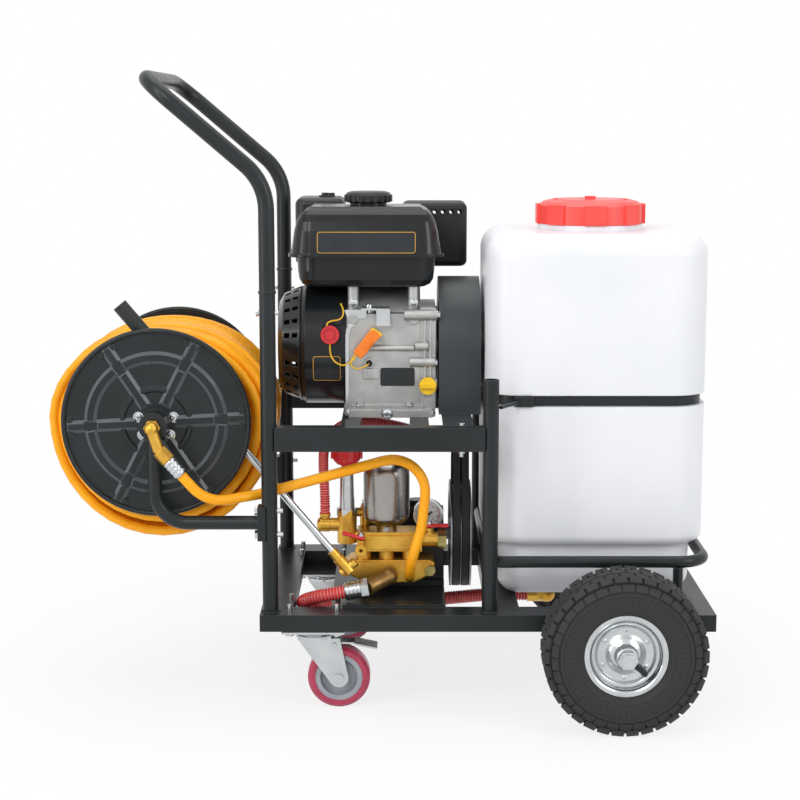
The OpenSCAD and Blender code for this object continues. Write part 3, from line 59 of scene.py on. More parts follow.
class Relief(Enum):
    """How a surface was made, which decides the fine relief that shows on it."""

    PEEL = "sprayed film"
    GRAIN = "cast skin"
    FLOW = "moulded plastic"


class Axis(Enum):
    """Side of the cart that a turned or ringed piece faces."""

    NEAR = Matrix.Rotation(math.pi / 2, 4, "X")
    FAR = Matrix.Rotation(-math.pi / 2, 4, "X")


def linear(colour: str) -> tuple[float, float, float, float]:
    """Turn an sRGB hex colour into linear light.

    Args:
        colour: Six hex digits after a hash mark.
    Returns:
        Red, green, blue and a full alpha.
    """
    parts = [int(colour[i:i + 2], 16) / 255 for i in (1, 3, 5)]
    return (*[c / 12.92 if c <= 0.04045 else ((c + 0.055) / 1.055) ** 2.4 for c in parts], 1.0)


def add_node(tree: bpy.types.NodeTree, kind: str, inputs: dict | None = None,
             **settings: Any) -> bpy.types.Node:
    """Add one node, with its settings, values and links.

    Args:
        tree: The tree that gets the node.
        kind: The node's type name.
        inputs: Values or output sockets by input name or number.
        settings: Properties of the node.
    Returns:
        The new node.
    """
    node = tree.nodes.new(kind)
    for name, value in settings.items():
        setattr(node, name, value)
    for key, value in (inputs or {}).items():
        if isinstance(value, bpy.types.NodeSocket):
            tree.links.new(value, node.inputs[key])
        else:
            node.inputs[key].default_value = value
    return node


def new_material(name: str) -> tuple[bpy.types.Material, bpy.types.NodeTree, bpy.types.Node]:
    """Make an empty node material.

    Args:
        name: The finish's name.
    Returns:
        The material, its tree and its output node.
    """
    material = bpy.data.materials.new(name)
    material.use_nodes = True
    material.node_tree.nodes.clear()
    return material, material.node_tree, add_node(material.node_tree, "ShaderNodeOutputMaterial")


@dataclass(frozen=True)
class Finish:
    """One real material and how its surface was made. Lengths are in millimetres.

    Attributes:
        name: The material's common name.
        colour: Its colour.
        tone: The colour that it drifts to in patches.
        relief: How the surface was made.
        grain: Size of the relief.
        height: Depth of the relief.
        patch: Size of the patches of tone and gloss.
        gloss: Roughness of the shiny and of the dull patches.
        metallic: 1 for bare metal.
        coat: Weight of a clear film.
        edge: Radius of softened edges.
        edge_highlight: How far edges are lightened to pale grey, a painted highlight.
        subsurface: How far light bleeds into the material.
        specular: Strength of the reflection.
    """

    name: str
    colour: str
    tone: str
    relief: Relief
    grain: float
    height: float
    patch: float
    gloss: tuple[float, float]
    metallic: float = 0.0
    coat: float = 0.0
    edge: float = 0.0
    edge_highlight: float = 0.0
    subsurface: float = 0.0
    specular: float = 0.5

    def material(self) -> bpy.types.Material:
        """Build the material, or return the one that was built before."""
        return bpy.data.materials.get(self.name) or self.build()

    def build(self) -> bpy.types.Material:
        """Lay out the nodes: a patchy tone, a gloss that follows it, relief, softened edges and pale edges, a
        painted highlight.

        Returns:
            The finished material.
        """
        material, tree, output = new_material(self.name)
        place = add_node(tree, "ShaderNodeTexCoord").outputs["Object"]
        patches = add_node(tree, "ShaderNodeTexNoise",
                           {"Vector": place, "Scale": 1 / (self.patch * MM), "Detail": 4.0}).outputs["Fac"]
        share = add_node(tree, "ShaderNodeMapRange",
                         {"Value": patches, "From Min": 0.35, "From Max": 0.7}).outputs["Result"]
        colour = add_node(tree, "ShaderNodeMix", {0: share, 6: linear(self.colour), 7: linear(self.tone)},
                          data_type="RGBA").outputs[2]
        shiny, dull = self.gloss
        gloss = add_node(tree, "ShaderNodeMapRange",
                         {"Value": share, "To Min": shiny, "To Max": dull}).outputs["Result"]
        bump = {"Height": self.relief_height(tree, place), "Distance": self.height * MM, "Strength": 1.0}
        if self.edge:
            bevel = add_node(tree, "ShaderNodeBevel", {"Radius": self.edge * MM}, samples=4)
            soft = bevel.outputs["Normal"]
            bump["Normal"] = soft
            # Edges lightened to pale grey: a painted highlight
            if self.edge_highlight:
                colour = self.dressed(tree, soft, colour)
        normal = add_node(tree, "ShaderNodeBump", bump).outputs["Normal"]
        shader = add_node(tree, "ShaderNodeBsdfPrincipled", {
            "Base Color": colour, "Roughness": gloss, "Normal": normal, "Metallic": self.metallic,
            "Coat Weight": self.coat, "Coat Roughness": 0.12, "Subsurface Weight": self.subsurface,
            "Subsurface Radius": (0.008, 0.007, 0.006), "Subsurface Scale": 1.0,
            "Specular IOR Level": self.specular})
        tree.links.new(shader.outputs["BSDF"], output.inputs["Surface"])
        return material

    def relief_height(self, tree: bpy.types.NodeTree, place: bpy.types.NodeSocket) -> bpy.types.NodeSocket:
        """Pick the texture that stands for the way the surface was made.

        Args:
            tree: The material's tree.
            place: The coordinates' socket.
        Returns:
            The height's socket.
        """
        scale = 1 / (self.grain * MM)
        detail = {Relief.PEEL: 1.0, Relief.GRAIN: 6.0, Relief.FLOW: 2.0}[self.relief]
        return add_node(tree, "ShaderNodeTexNoise",
                        {"Vector": place, "Scale": scale, "Detail": detail,
                         "Roughness": 0.6}).outputs["Fac"]

    def dressed(self, tree: bpy.types.NodeTree, soft: bpy.types.NodeSocket,
             colour: bpy.types.NodeSocket) -> bpy.types.NodeSocket:
        """Lighten the edges to pale grey: a painted highlight.

        Args:
            tree: The material's tree.
            soft: The softened normal's socket.
            colour: The colour before the painted edge highlight.
        Returns:
            The socket of the colour with its painted edge highlight.
        """
        flat = add_node(tree, "ShaderNodeNewGeometry").outputs["True Normal"]
        turn = add_node(tree, "ShaderNodeVectorMath", {0: soft, 1: flat},
                        operation="DOT_PRODUCT").outputs["Value"]
        edge = add_node(tree, "ShaderNodeMapRange", {"Value": turn, "From Min": 0.995, "From Max": 0.8,
                                                     "To Max": self.edge_highlight}).outputs["Result"]
        return add_node(tree, "ShaderNodeMix", {0: edge, 6: colour, 7: linear(EDGE_HIGHLIGHT_GREY)},
                        data_type="RGBA").outputs[2]


# Satin black powder coat: a deep charcoal with a fine orange peel that spreads each highlight; its edges are
# painted pale as a highlight
POWDER_COAT = Finish("satin_black_powder_coat", "#1E2223", "#24282A", Relief.PEEL, 1.6, 0.03, 90,
                     (0.3, 0.38), edge=1.4, edge_highlight=0.22, specular=0.28)
# Thicker grey black coat of a large flat cover: paler, with a wide soft sheen; its edges are painted pale as
# a highlight
COVER_COAT = Finish("grey_black_powder_coat", "#34383A", "#3A3E40", Relief.PEEL, 2.2, 0.03, 120,
                    (0.34, 0.42), edge=1.6, edge_highlight=0.15, specular=0.35)
# The same black coat laid pale grey and glossier on the pressed ribs' sloping walls: a painted highlight
RIB_WALL_HIGHLIGHT = Finish("rib_wall_painted_highlight", "#505457", "#5A5E61", Relief.PEEL, 1.6, 0.02, 60, (0.26, 0.34),
                  edge=0.8)
# Bright zinc plate on pressed steel: cool silver with blurred reflections and a faint cloudiness
ZINC = Finish("bright_zinc_plate", "#CBCECF", "#BCC1C4", Relief.FLOW, 14, 0.02, 30, (0.2, 0.3),
              metallic=1.0, edge=0.8)
# Olive passivated zinc on screwed caps and lug bolts: a dull yellow green silver
OLIVE_ZINC = Finish("olive_zinc_plate", "#A79B62", "#8F8350", Relief.FLOW, 6, 0.03, 14, (0.26, 0.36),
                    metallic=0.9, edge=0.8)
# Carcass rubber of a tyre: dull black with a grey bloom
TYRE_RUBBER = Finish("tyre_rubber", "#1F2224", "#2B2E31", Relief.GRAIN, 2.5, 0.12, 25, (0.34, 0.5),
                     edge=0.8, specular=0.45)
# Cast polyurethane tread: wine red, waxy and a little translucent
URETHANE = Finish("cast_urethane", "#A5304C", "#B23A57", Relief.FLOW, 5, 0.08, 30, (0.25, 0.38), edge=1.5,
                  subsurface=0.1)
# Moulded polypropylene hub: flat mid grey
GREY_PP = Finish("grey_polypropylene", "#9CA1A7", "#8F949B", Relief.FLOW, 3, 0.1, 25, (0.4, 0.55), edge=1.0)
# Extruded PVC spray hose: warm yellow orange with a soft wet-looking gloss
ORANGE_PVC = Finish("orange_pvc_hose", "#FAAD22", "#F3A016", Relief.FLOW, 9, 0.06, 60, (0.24, 0.34),
                    subsurface=0.05, specular=0.2)
# Blow moulded polyethylene: milky white, light bleeds into its walls
WHITE_PE = Finish("milky_polyethylene", "#E9EAEE", "#E2E4E9", Relief.FLOW, 14, 0.25, 160, (0.3, 0.42),
                  edge=3.0, subsurface=0.2)
# Injection moulded polypropylene lid: coral red with a slight sheen
CORAL_PP = Finish("coral_polypropylene", "#F8524B", "#EF453F", Relief.FLOW, 6, 0.08, 50, (0.3, 0.4),
                  edge=1.6, subsurface=0.06)
# Die cast aluminium: light grey with a sandy skin, its grain drawn coarser than the real one so that it shows
CAST_ALLOY = Finish("die_cast_aluminium", "#B9BAB8", "#A3A4A2", Relief.GRAIN, 1.6, 0.16, 26, (0.36, 0.5),
                    metallic=0.75, edge=2.2)
# Baked gloss enamel on pressed steel: near black with sharp highlights
GLOSS_ENAMEL = Finish("gloss_black_enamel", "#17191A", "#1C1E1F", Relief.PEEL, 4, 0.03, 70, (0.16, 0.26),
                      coat=0.2, edge=2.0, specular=0.4)
# Baked satin enamel on drawn sheet: charcoal with a broad soft sheen
SATIN_ENAMEL = Finish("satin_black_enamel", "#14171A", "#191C1E", Relief.PEEL, 3, 0.02, 80, (0.2, 0.27),
                      edge=2.0, specular=0.32)
# Heat proof paint on an exhaust box: dead black and dusty
HEAT_PAINT = Finish("heat_proof_paint", "#1B1C1D", "#26272A", Relief.GRAIN, 1.8, 0.08, 30, (0.5, 0.62),
                    edge=1.6, specular=0.3)
# Moulded ABS: black, even and a little dusty
BLACK_ABS = Finish("black_abs", "#1C1E1F", "#242728", Relief.FLOW, 2, 0.05, 40, (0.34, 0.46), edge=1.4,
                   specular=0.35)
# Dipped red vinyl: bright and glossy, with soft rounded edges
RED_VINYL = Finish("red_vinyl", "#D5222A", "#C51D26", Relief.FLOW, 5, 0.08, 18, (0.22, 0.34),
                   coat=0.2, edge=1.2)
# Moulded yellow nylon: even and waxy
YELLOW_NYLON = Finish("yellow_nylon", "#F3C70F", "#E8B90C", Relief.FLOW, 4, 0.06, 14, (0.26, 0.38),
                      edge=1.2)
# Moulded orange nylon: even, with crisp edges
ORANGE_NYLON = Finish("orange_nylon", "#F5831B", "#EA7812", Relief.FLOW, 4, 0.06, 14, (0.28, 0.4),
                      edge=0.8)
# Turned mild steel under a thin oil film: mid grey with a fine tool grain
TURNED_STEEL = Finish("turned_steel", "#8C8F92", "#7A7C7F", Relief.GRAIN, 1.2, 0.05, 16, (0.28, 0.42),
                      metallic=0.95, edge=0.8)
# Wrapped V-belt of cotton and rubber: dead black with a coarse weave-like skin
BELT = Finish("wrapped_belt_rubber", "#181919", "#232323", Relief.GRAIN, 1.4, 0.2, 18, (0.55, 0.7),
              edge=0.8, specular=0.3)
# Sprayed pump casting: black with a rough skin below the paint
PUMP_ENAMEL = Finish("black_pump_enamel", "#18191A", "#202122", Relief.GRAIN, 2.4, 0.12, 30, (0.3, 0.42),
                     edge=2.0, specular=0.35)
# Sand cast yellow brass: golden with soft highlights, its grain drawn coarser than real sand so that it shows
BRASS = Finish("sand_cast_brass", "#DDB04C", "#C99839", Relief.GRAIN, 2.2, 0.16, 22, (0.3, 0.42),
               metallic=0.85, edge=1.8)
# Cast bronze: brown, with the same coarse grain as the brass
BRONZE = Finish("brown_bronze", "#9A7A4A", "#84663A", Relief.GRAIN, 2.2, 0.2, 18, (0.34, 0.48),
                metallic=0.8, edge=1.8)
# Spun and brushed stainless steel: pale grey with soft wide reflections
STAINLESS = Finish("brushed_stainless", "#A5A29E", "#95928E", Relief.FLOW, 30, 0.02, 50, (0.24, 0.3),
                   metallic=1.0)
# Bright nickel plate on a turned valve body: silver with sharp streaks
NICKEL = Finish("bright_nickel_plate", "#C4C6C7", "#B4B6B8", Relief.FLOW, 12, 0.02, 25, (0.14, 0.22),
                metallic=1.0, edge=0.8)
# Printed steel dial: dead white
DIAL_WHITE = Finish("dial_white", "#F2F2EF", "#EDEDE9", Relief.PEEL, 1.5, 0.01, 10, (0.4, 0.5))
# Printing inks: flat and matt; the black one also fills the flange screws' cross recesses as painted shade
BLACK_INK_AND_SHADE = Finish("black_ink_and_painted_shade", "#151515", "#1B1B1B", Relief.PEEL, 1.5, 0.01, 8, (0.5, 0.6))
INK_RED = Finish("ink_red", "#C7262B", "#BC2025", Relief.PEEL, 1.5, 0.01, 8, (0.45, 0.55))
# Ochre ink of a thin printed line
INK_OCHRE = Finish("ink_ochre", "#D09A3A", "#C48F30", Relief.PEEL, 1.5, 0.01, 8, (0.4, 0.5))
# Plain polyester plate: dark blue grey film
PLATE_FILM = Finish("dark_plate_film", "#1B2023", "#1F2427", Relief.PEEL, 2, 0.01, 30, (0.26, 0.34),
                    specular=0.4)
# Yellow PVC of thin leads: smooth and a little shiny
LEAD_YELLOW = Finish("yellow_pvc_lead", "#F2C21A", "#E6B414", Relief.FLOW, 3, 0.03, 10, (0.3, 0.4))


@dataclass(frozen=True)
class RibbedPvc:
    """Suction hose wall: a hard red rib wound in a paler, see-through red wall."""

    name: str
    rib: str
    wall: str
    pitch: float

    def material(self) -> bpy.types.Material:
        """Colour the ribs by the distance along the hose.

        Returns:
            The finished material.
        """
        material, tree, output = new_material(self.name)
        along = add_node(tree, "ShaderNodeAttribute", attribute_name="along").outputs["Fac"]
        turn = add_node(tree, "ShaderNodeMath", {0: along, 1: FULL_TURN / (self.pitch * MM)},
                        operation="MULTIPLY").outputs[0]
        wave = add_node(tree, "ShaderNodeMath", {0: turn}, operation="SINE").outputs[0]
        share = add_node(tree, "ShaderNodeMapRange",
                         {"Value": wave, "From Min": -0.7, "From Max": 0.3}).outputs[0]
        colour = add_node(tree, "ShaderNodeMix", {0: share, 6: linear(self.wall), 7: linear(self.rib)},
                          data_type="RGBA").outputs[2]
        gloss = add_node(tree, "ShaderNodeMapRange",
                         {"Value": share, "To Min": 0.45, "To Max": 0.26}).outputs[0]
        shader = add_node(tree, "ShaderNodeBsdfPrincipled", {
            "Base Color": colour, "Roughness": gloss, "Subsurface Weight": 0.1, "Subsurface Scale": 1.0,
            "Subsurface Radius": (0.004, 0.002, 0.002)})
        tree.links.new(shader.outputs["BSDF"], output.inputs["Surface"])
        return material


@dataclass(frozen=True)
class ClearGlass:
    """Flat gauge glass: clear, with a sharp reflection."""

    name: str = "gauge_glass"

    def material(self) -> bpy.types.Material:
        """Mix a thin clear pane with its reflection.

        Returns:
            The finished material.
        """
        material, tree, output = new_material(self.name)
        shine = add_node(tree, "ShaderNodeFresnel", {"IOR": 1.45}).outputs["Fac"]
        clear = add_node(tree, "ShaderNodeBsdfTransparent").outputs["BSDF"]
        gloss = add_node(tree, "ShaderNodeBsdfGlossy", {"Roughness": 0.03}).outputs["BSDF"]
        pane = add_node(tree, "ShaderNodeMixShader", {0: shine, 1: clear, 2: gloss}).outputs["Shader"]
        tree.links.new(pane, output.inputs["Surface"])
        return material


def ribbed(name: str, pitch: float) -> RibbedPvc:
    """Return the red ribbed hose wall for one rib pitch in millimetres."""
    return RibbedPvc(name, RIB_RED, WALL_RED, pitch)


DRESS: dict[Finish, tuple[str, ...]] = {
    POWDER_COAT: ("base_frame", "upright_posts", "engine_deck", "tank_guard", "push_handle", "reel_arms",
                  "reel_drum", "tank_strap"),
    COVER_COAT: ("belt_guard",),
    ZINC: ("wheel_axle", "caster_plates", "fasteners", "caster_fork_near", "caster_fork_far",
           "caster_pedal_near", "caster_pedal_far", "throttle_lever", "lance_tube", "pressure_gauge"),
    URETHANE: ("caster_tread_near", "caster_tread_far"),
    GREY_PP: ("caster_core_near", "caster_core_far"),
    WHITE_PE: ("spray_tank",),
    CORAL_PP: ("tank_lid",),
    CAST_ALLOY: ("crankcase", "cylinder_head", "carburetor"),
    GLOSS_ENAMEL: ("recoil_cover",),
    SATIN_ENAMEL: ("fuel_tank", "fan_shroud"),
    HEAT_PAINT: ("muffler",),
    BLACK_ABS: ("fuel_cap", "air_cleaner", "starter_grip", "lance_grip"),
    RED_VINYL: ("stop_button", "regulator_knob"),
    YELLOW_NYLON: ("oil_dipstick",),
    TURNED_STEEL: ("choke_lever", "crankshaft", "pump_pulley"),
    BELT: ("drive_belts",),
    PUMP_ENAMEL: ("pump_body",),
    BRASS: ("pump_manifold", "regulator", "hose_fittings"),
    BLACK_INK_AND_SHADE: ("gauge_needle",),
}


@dataclass(frozen=True)
class Region:
    """Part of a node, inside a box in millimetres, that has a finish of its own."""

    node: str
    finish: Finish
    low: tuple[float, float, float]
    high: tuple[float, float, float]

    def holds(self, point: Vector) -> bool:
        """Tell whether a point in metres lies in the box."""
        return all(a <= c / MM <= b for a, c, b in zip(self.low, point, self.high))


REGIONS = (
    Region("pump_manifold", OLIVE_ZINC, (93.5, -120, 225), (130, -60, 290)),
    Region("regulator", NICKEL, (-90, -130, 297), (-20, -40, 400)),
    Region("pump_manifold", OLIVE_ZINC, (-66, -127, 197), (-46, -119.9, 218)),
    Region("pump_manifold", OLIVE_ZINC, (71, -127, 197), (91, -119.9, 218)),
    Region("lance_tube", BRASS, (-93, -190, 180), (0, -140, 262)),
    Region("hose_fittings", ZINC, (-328, -260, 380), (-300, -200, 411.5)),
    Region("hose_fittings", BRONZE, (-18, -175, 180), (40, -110, 225)),
    Region("hose_fittings", ZINC, (-60, -185, 165), (-18, -140, 215)),
)


def dress_nodes() -> None:
    """Give every node that stays in view its finish, and its regions theirs."""
    for finish, names in DRESS.items():
        for name in names:
            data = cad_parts[name].data
            data.materials.clear()
            data.materials.append(finish.material())
    for region in REGIONS:
        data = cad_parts[region.node].data
        slot = len(data.materials)
        data.materials.append(region.finish.material())
        for face in data.polygons:
            if region.holds(face.center):
                face.material_index = slot


def metres(points: Sequence[Sequence[float]]) -> list[Vector]:
    """Turn points in millimetres into vectors in metres."""
    return [Vector(p) * MM for p in points]


def smooth_path(points: Sequence[Vector], steps: int) -> list[Vector]:
    """Run one smooth curve through a route's points.

    Args:
        points: The route's points.
        steps: Pieces between two points.
    Returns:
        The curve's points.
    """
    last = len(points) - 1
    path = []
    for i in range(last):
        a, b, c, d = (points[max(0, min(last, i + k))] for k in (-1, 0, 1, 2))
        for k in range(steps):
            t = k / steps
            path.append(0.5 * (2 * b + (c - a) * t + (2 * a - 5 * b + 4 * c - d) * t ** 2
                               + (3 * b - a - 3 * c + d) * t ** 3))
    return path + [points[last]]


def rounded_line(corners: Sequence[Sequence[float]], bends: Sequence[float],
                 arc: int = 24) -> list[Vector]:
    """Round the inner corners of a line.

    Args:
        corners: The line's corners.
        bends: Bend radius at each inner corner.
        arc: Pieces of a bend.
    Returns:
        The points of the rounded line.
    """
    places = [Vector(corner) for corner in corners]
    line = [places[0]]
    for before, corner, after, bend in zip(places, places[1:], places[2:], bends):
        back = (before - corner).normalized()
        onward = (after - corner).normalized()
        turn = math.pi - back.angle(onward)
        centre = corner + (back + onward).normalized() * bend / math.cos(turn / 2)
        spoke = corner + back * bend * math.tan(turn / 2) - centre
        angles = [turn * k / arc for k in range(arc + 1)]
        line += [centre + spoke * math.cos(angle) - back * bend * math.sin(angle) for angle in angles]
    return line + [places[-1]]


def even_points(line: Sequence[Vector], count: int) -> list[Vector]:
    """Space points evenly along a line.

    Args:
        line: The line's points.
        count: Number of points.
    Returns:
        The spaced points, both ends among them.
    """
    step = path_length(line) / (count - 1)
    points = [line[0]]
    walked = 0.0
    for a, b in zip(line, line[1:]):
        leg = (b - a).length
        while len(points) < count - 1 and len(points) * step <= walked + leg:
            points.append(a.lerp(b, (len(points) * step - walked) / leg))
        walked += leg
    return points + [line[-1]]


def path_length(path: Sequence[Vector]) -> float:
    """Return the length of a line through points."""
    return sum((b - a).length for a, b in zip(path, path[1:]))


def link(name: str, data: Any, finish: Any = None) -> bpy.types.Object:
    """Put new mesh or curve data into the scene as an object.

    Args:
        name: The piece's name.
        data: The mesh or curve.
        finish: The finish it gets, if any.
    Returns:
        The object.
    """
    piece = bpy.data.objects.new(name, data)
    bpy.context.scene.collection.objects.link(piece)
    if finish:
        data.materials.clear()
        data.materials.append(finish.material())
    return piece


def shift(point: Sequence[float]) -> Matrix:
    """Return the move to a point in millimetres."""
    return Matrix.Translation(Vector(point) * MM)


def aim(way: Vector) -> Matrix:
    """Return the turn that sets a piece's Z along a direction."""
    return way.to_track_quat("Z", "Y").to_matrix().to_4x4()


def poly_line(name: str, path: Sequence[Vector]) -> bpy.types.Curve:
    """Make curve data of one open spline through a path's points.

    Args:
        name: The curve's name.
        path: The points in metres.
    Returns:
        The curve data.
    """
    data = bpy.data.curves.new(name, "CURVE")
    data.dimensions = "3D"
    spline = data.splines.new("POLY")
    spline.points.add(len(path) - 1)
    for point, place in zip(spline.points, path):
        point.co = (*place, 1.0)
    return data


def curve_piece(name: str, path: Sequence[Vector], radius: float, finish: Finish,
                sides: int = 4) -> bpy.types.Object:
    """Make a round cord along a path, as one open spline.

    Args:
        name: The piece's name.
        path: The centreline in metres.
        radius: The cord's radius in metres.
        finish: Its finish.
        sides: The bevel's resolution.
    Returns:
        The curve object.
    """
    data = poly_line(name, path)
    data.bevel_depth = radius
    data.bevel_resolution = sides
    data.use_fill_caps = True
    data.splines[0].use_smooth = True
    return link(name, data, finish)


def mesh_piece(name: str, points: Sequence[Sequence[float]], faces: Sequence[Sequence[int]], finish: Any,
               smooth: bool = True) -> bpy.types.Object:
    """Make a mesh piece with its doubles merged and its faces outward.

    Args:
        name: The piece's name.
        points: Corners in metres.
        faces: Corner numbers of each face.
        finish: Its finish.
        smooth: True for round shapes.
    Returns:
        The mesh object.
    """
    data = bpy.data.meshes.new(name)
    data.from_pydata([tuple(p) for p in points], [], [tuple(f) for f in faces])
    form = bmesh.new()
    form.from_mesh(data)
    bmesh.ops.remove_doubles(form, verts=form.verts, dist=MERGE_M)
    bmesh.ops.recalc_face_normals(form, faces=form.faces)
    form.to_mesh(data)
    form.free()
    if smooth:
        data.shade_smooth()
        data.set_sharp_from_angle(angle=SMOOTH_UNDER)
    return link(name, data, finish)


def lathe(name: str, profile: Sequence[tuple[float, float]], at: Matrix, finish: Any, sides: int = 48,
          ring: bool = False) -> bpy.types.Object:
    """Turn a profile about a line.

    Args:
        name: The piece's name.
        profile: Radius and height pairs in millimetres, from the axis or round a closed ring.
        at: Where the turning line's foot and direction are.
        finish: The piece's finish.
        sides: Faces round the line.
        ring: True where the profile closes on itself.
    Returns:
        The mesh object.
    """
    points, faces, n = [], [], len(profile)
    spans = n if ring else n - 1
    for k in range(sides):
        angle = FULL_TURN * k / sides
        points += [at @ (Vector((r * math.cos(angle), r * math.sin(angle), h)) * MM) for r, h in profile]
    for k in range(sides):
        m = (k + 1) % sides
        faces += [(k * n + i, m * n + i, m * n + (i + 1) % n, k * n + (i + 1) % n) for i in range(spans)]
    return mesh_piece(name, points, faces, finish)


def ridge(name: str, line: Sequence[tuple[float, float]], at: Matrix, base: float = 20.0, top: float = 10.0,
          rise: float = 4.4) -> bpy.types.Object:
    """Press a rib with sloping walls along a line in a plane.

    Args:
        name: The piece's name.
        line: Points of its middle in millimetres.
        at: The plane's place, with its outward side along Z.
        base: Width at the foot in millimetres.
        top: Width of the crest in millimetres.
        rise: Height in millimetres.
    Returns:
        The mesh object, its walls paler than its crest as a painted highlight.
    """
    points, faces = [], []
    last = len(line) - 1
    for i, (u, v) in enumerate(line):
        (a, b), (c, d) = line[max(0, i - 1)], line[min(last, i + 1)]
        way = Vector((c - a, d - b, 0)).normalized()
        across = Vector((-way.y, way.x, 0))
        run = way * (base - top) / 2 * ((i == last) - (i == 0))
        for width, height in ((-base, 0.0), (-top, rise), (top, rise), (base, 0.0)):
            foot = Vector((u, v, height)) + across * width / 2
            points.append(at @ ((foot if height else foot + run) * MM))
    for i in range(last):
        faces += [(4 * i + k, 4 * i + k + 1, 4 * i + k + 5, 4 * i + k + 4) for k in range(3)]
    faces += [(0, 1, 2, 3), tuple(4 * last + k for k in (3, 2, 1, 0))]
    piece = mesh_piece(name, points, faces, POWDER_COAT, smooth=False)
    # Sloping walls get a pale grey, a painted highlight; the crest keeps the black coat
    piece.data.materials.append(RIB_WALL_HIGHLIGHT.material())
    out = at.to_3x3() @ Vector((0, 0, 1))
    for face in piece.data.polygons:
        face.material_index = 0 if face.normal.dot(out) > 0.95 else 1
    return piece


def ride(piece: bpy.types.Object, body: str) -> bpy.types.Object:
    """Set a piece on a body, and report it.

    Args:
        piece: The piece.
        body: The body that carries it.
    Returns:
        The piece.
    """
    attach(piece, body)
    LOG.info("%s rides on %s", piece.name, body)
    return piece


class Pattern:
    """A geometry node tree with named inputs, run once and kept as a plain mesh."""

    KINDS = {float: "NodeSocketFloat", int: "NodeSocketInt", tuple: "NodeSocketVector"}

    def __init__(self, name: str, geometry: bool = False, **inputs: Any) -> None:
        """Open the tree.

        Args:
            name: The tree's name.
            geometry: True where the tree works on the object's own geometry.
            inputs: Default value of each named input.
        """
        self.tree = bpy.data.node_groups.new(name, "GeometryNodeTree")
        face = self.tree.interface
        if geometry:
            face.new_socket("Geometry", in_out="INPUT", socket_type="NodeSocketGeometry")
        self.keys = {}
        for key, value in inputs.items():
            socket = face.new_socket(key, in_out="INPUT", socket_type=self.KINDS[type(value)])
            socket.default_value = value
            self.keys[key] = socket.identifier
        dressed = face.new_socket("finish", in_out="INPUT", socket_type="NodeSocketMaterial")
        self.keys["finish"] = dressed.identifier
        face.new_socket("Geometry", in_out="OUTPUT", socket_type="NodeSocketGeometry")
        self.given = add_node(self.tree, "NodeGroupInput").outputs

    def add(self, kind: str, inputs: dict | None = None, **settings: Any) -> bpy.types.Node:
        """Add a node to this tree."""
        return add_node(self.tree, "GeometryNode" + kind, inputs, **settings)

    def math(self, operation: str, *values: Any) -> bpy.types.NodeSocket:
        """Add one sum of numbers or fields and return its result."""
        sum_node = add_node(self.tree, "ShaderNodeMath", dict(enumerate(values)), operation=operation)
        return sum_node.outputs[0]

    def close(self, geometry: bpy.types.NodeSocket) -> "Pattern":
        """End the tree with real geometry and its finish.

        Args:
            geometry: What the tree made.
        Returns:
            This pattern.
        """
        real = self.add("RealizeInstances", {0: geometry}).outputs[0]
        dressed = self.add("SetMaterial", {"Geometry": real, "Material": self.given["finish"]}).outputs[0]
        add_node(self.tree, "NodeGroupOutput", {0: dressed})
        return self

    def run(self, name: str, finish: Any, at: Matrix | None = None, base: Any = None, bevel: float = 0.0,
            **values: Any) -> bpy.types.Object:
        """Evaluate the tree and keep the result as one mesh.

        Args:
            name: The piece's name.
            finish: The piece's finish.
            at: Where the mesh is set.
            base: Mesh or curve data that the tree works on.
            bevel: Width of a bevel on all edges, in metres.
            values: Values of the named inputs.
        Returns:
            The mesh object at the origin.
        """
        maker = link(name + "_maker", base or bpy.data.meshes.new(name))
        modifier = maker.modifiers.new("pattern", "NODES")
        modifier.node_group = self.tree
        for key, value in {**values, "finish": finish.material()}.items():
            modifier[self.keys[key]] = value
        if bevel:
            rounding = maker.modifiers.new("bevel", "BEVEL")
            rounding.width = bevel
            rounding.segments = 2
        bpy.context.view_layer.update()
        ready = maker.evaluated_get(bpy.context.evaluated_depsgraph_get())
        data = bpy.data.meshes.new_from_object(ready)
        data.name = name
        if at:
            data.transform(at)
        bpy.data.objects.remove(maker)
        return link(name, data)


def ring_pattern() -> Pattern:
    """Lay out tapered blocks round a ring: tread lugs, dial ticks and gripping ribs.

    Returns:
        The pattern, in its own frame with the ring's line along Z.
    """
    p = Pattern("blocks_on_a_ring", count=12, radius=0.1, side=0.0, start=0.0, sweep=FULL_TURN, lean=0.0,
                size=(0.01, 0.01, 0.01), taper=1.0)
    index = p.add("InputIndex").outputs[0]
    step = p.math("DIVIDE", index, p.given["count"])
    angle = p.math("ADD", p.math("MULTIPLY", step, p.given["sweep"]), p.given["start"])
    along = p.math("MULTIPLY", p.math("COSINE", angle), p.given["radius"])
    across = p.math("MULTIPLY", p.math("SINE", angle), p.given["radius"])
    place = add_node(p.tree, "ShaderNodeCombineXYZ", {0: along, 1: across, 2: p.given["side"]}).outputs[0]
    points = p.add("Points", {"Count": p.given["count"], "Position": place}).outputs[0]
    cube = p.add("MeshCube", {"Size": p.given["size"]}).outputs["Mesh"]
    corner = p.add("InputPosition").outputs[0]
    height = add_node(p.tree, "ShaderNodeSeparateXYZ", {0: corner}).outputs[0]
    top = p.math("GREATER_THAN", height, 0.0)
    narrow = add_node(p.tree, "ShaderNodeMix", {0: top, 2: 1.0, 3: p.given["taper"]}).outputs[0]
    shrink = add_node(p.tree, "ShaderNodeCombineXYZ", {0: 1.0, 1: narrow, 2: narrow}).outputs[0]
    form = add_node(p.tree, "ShaderNodeVectorMath", {0: corner, 1: shrink}, operation="MULTIPLY").outputs[0]
    block = p.add("SetPosition", {"Geometry": cube, "Position": form}).outputs[0]
    spin = add_node(p.tree, "ShaderNodeCombineXYZ", {1: p.given["lean"], 2: angle}).outputs[0]
    blocks = p.add("InstanceOnPoints", {"Points": points, "Instance": block, "Rotation": spin})
    return p.close(blocks.outputs[0])


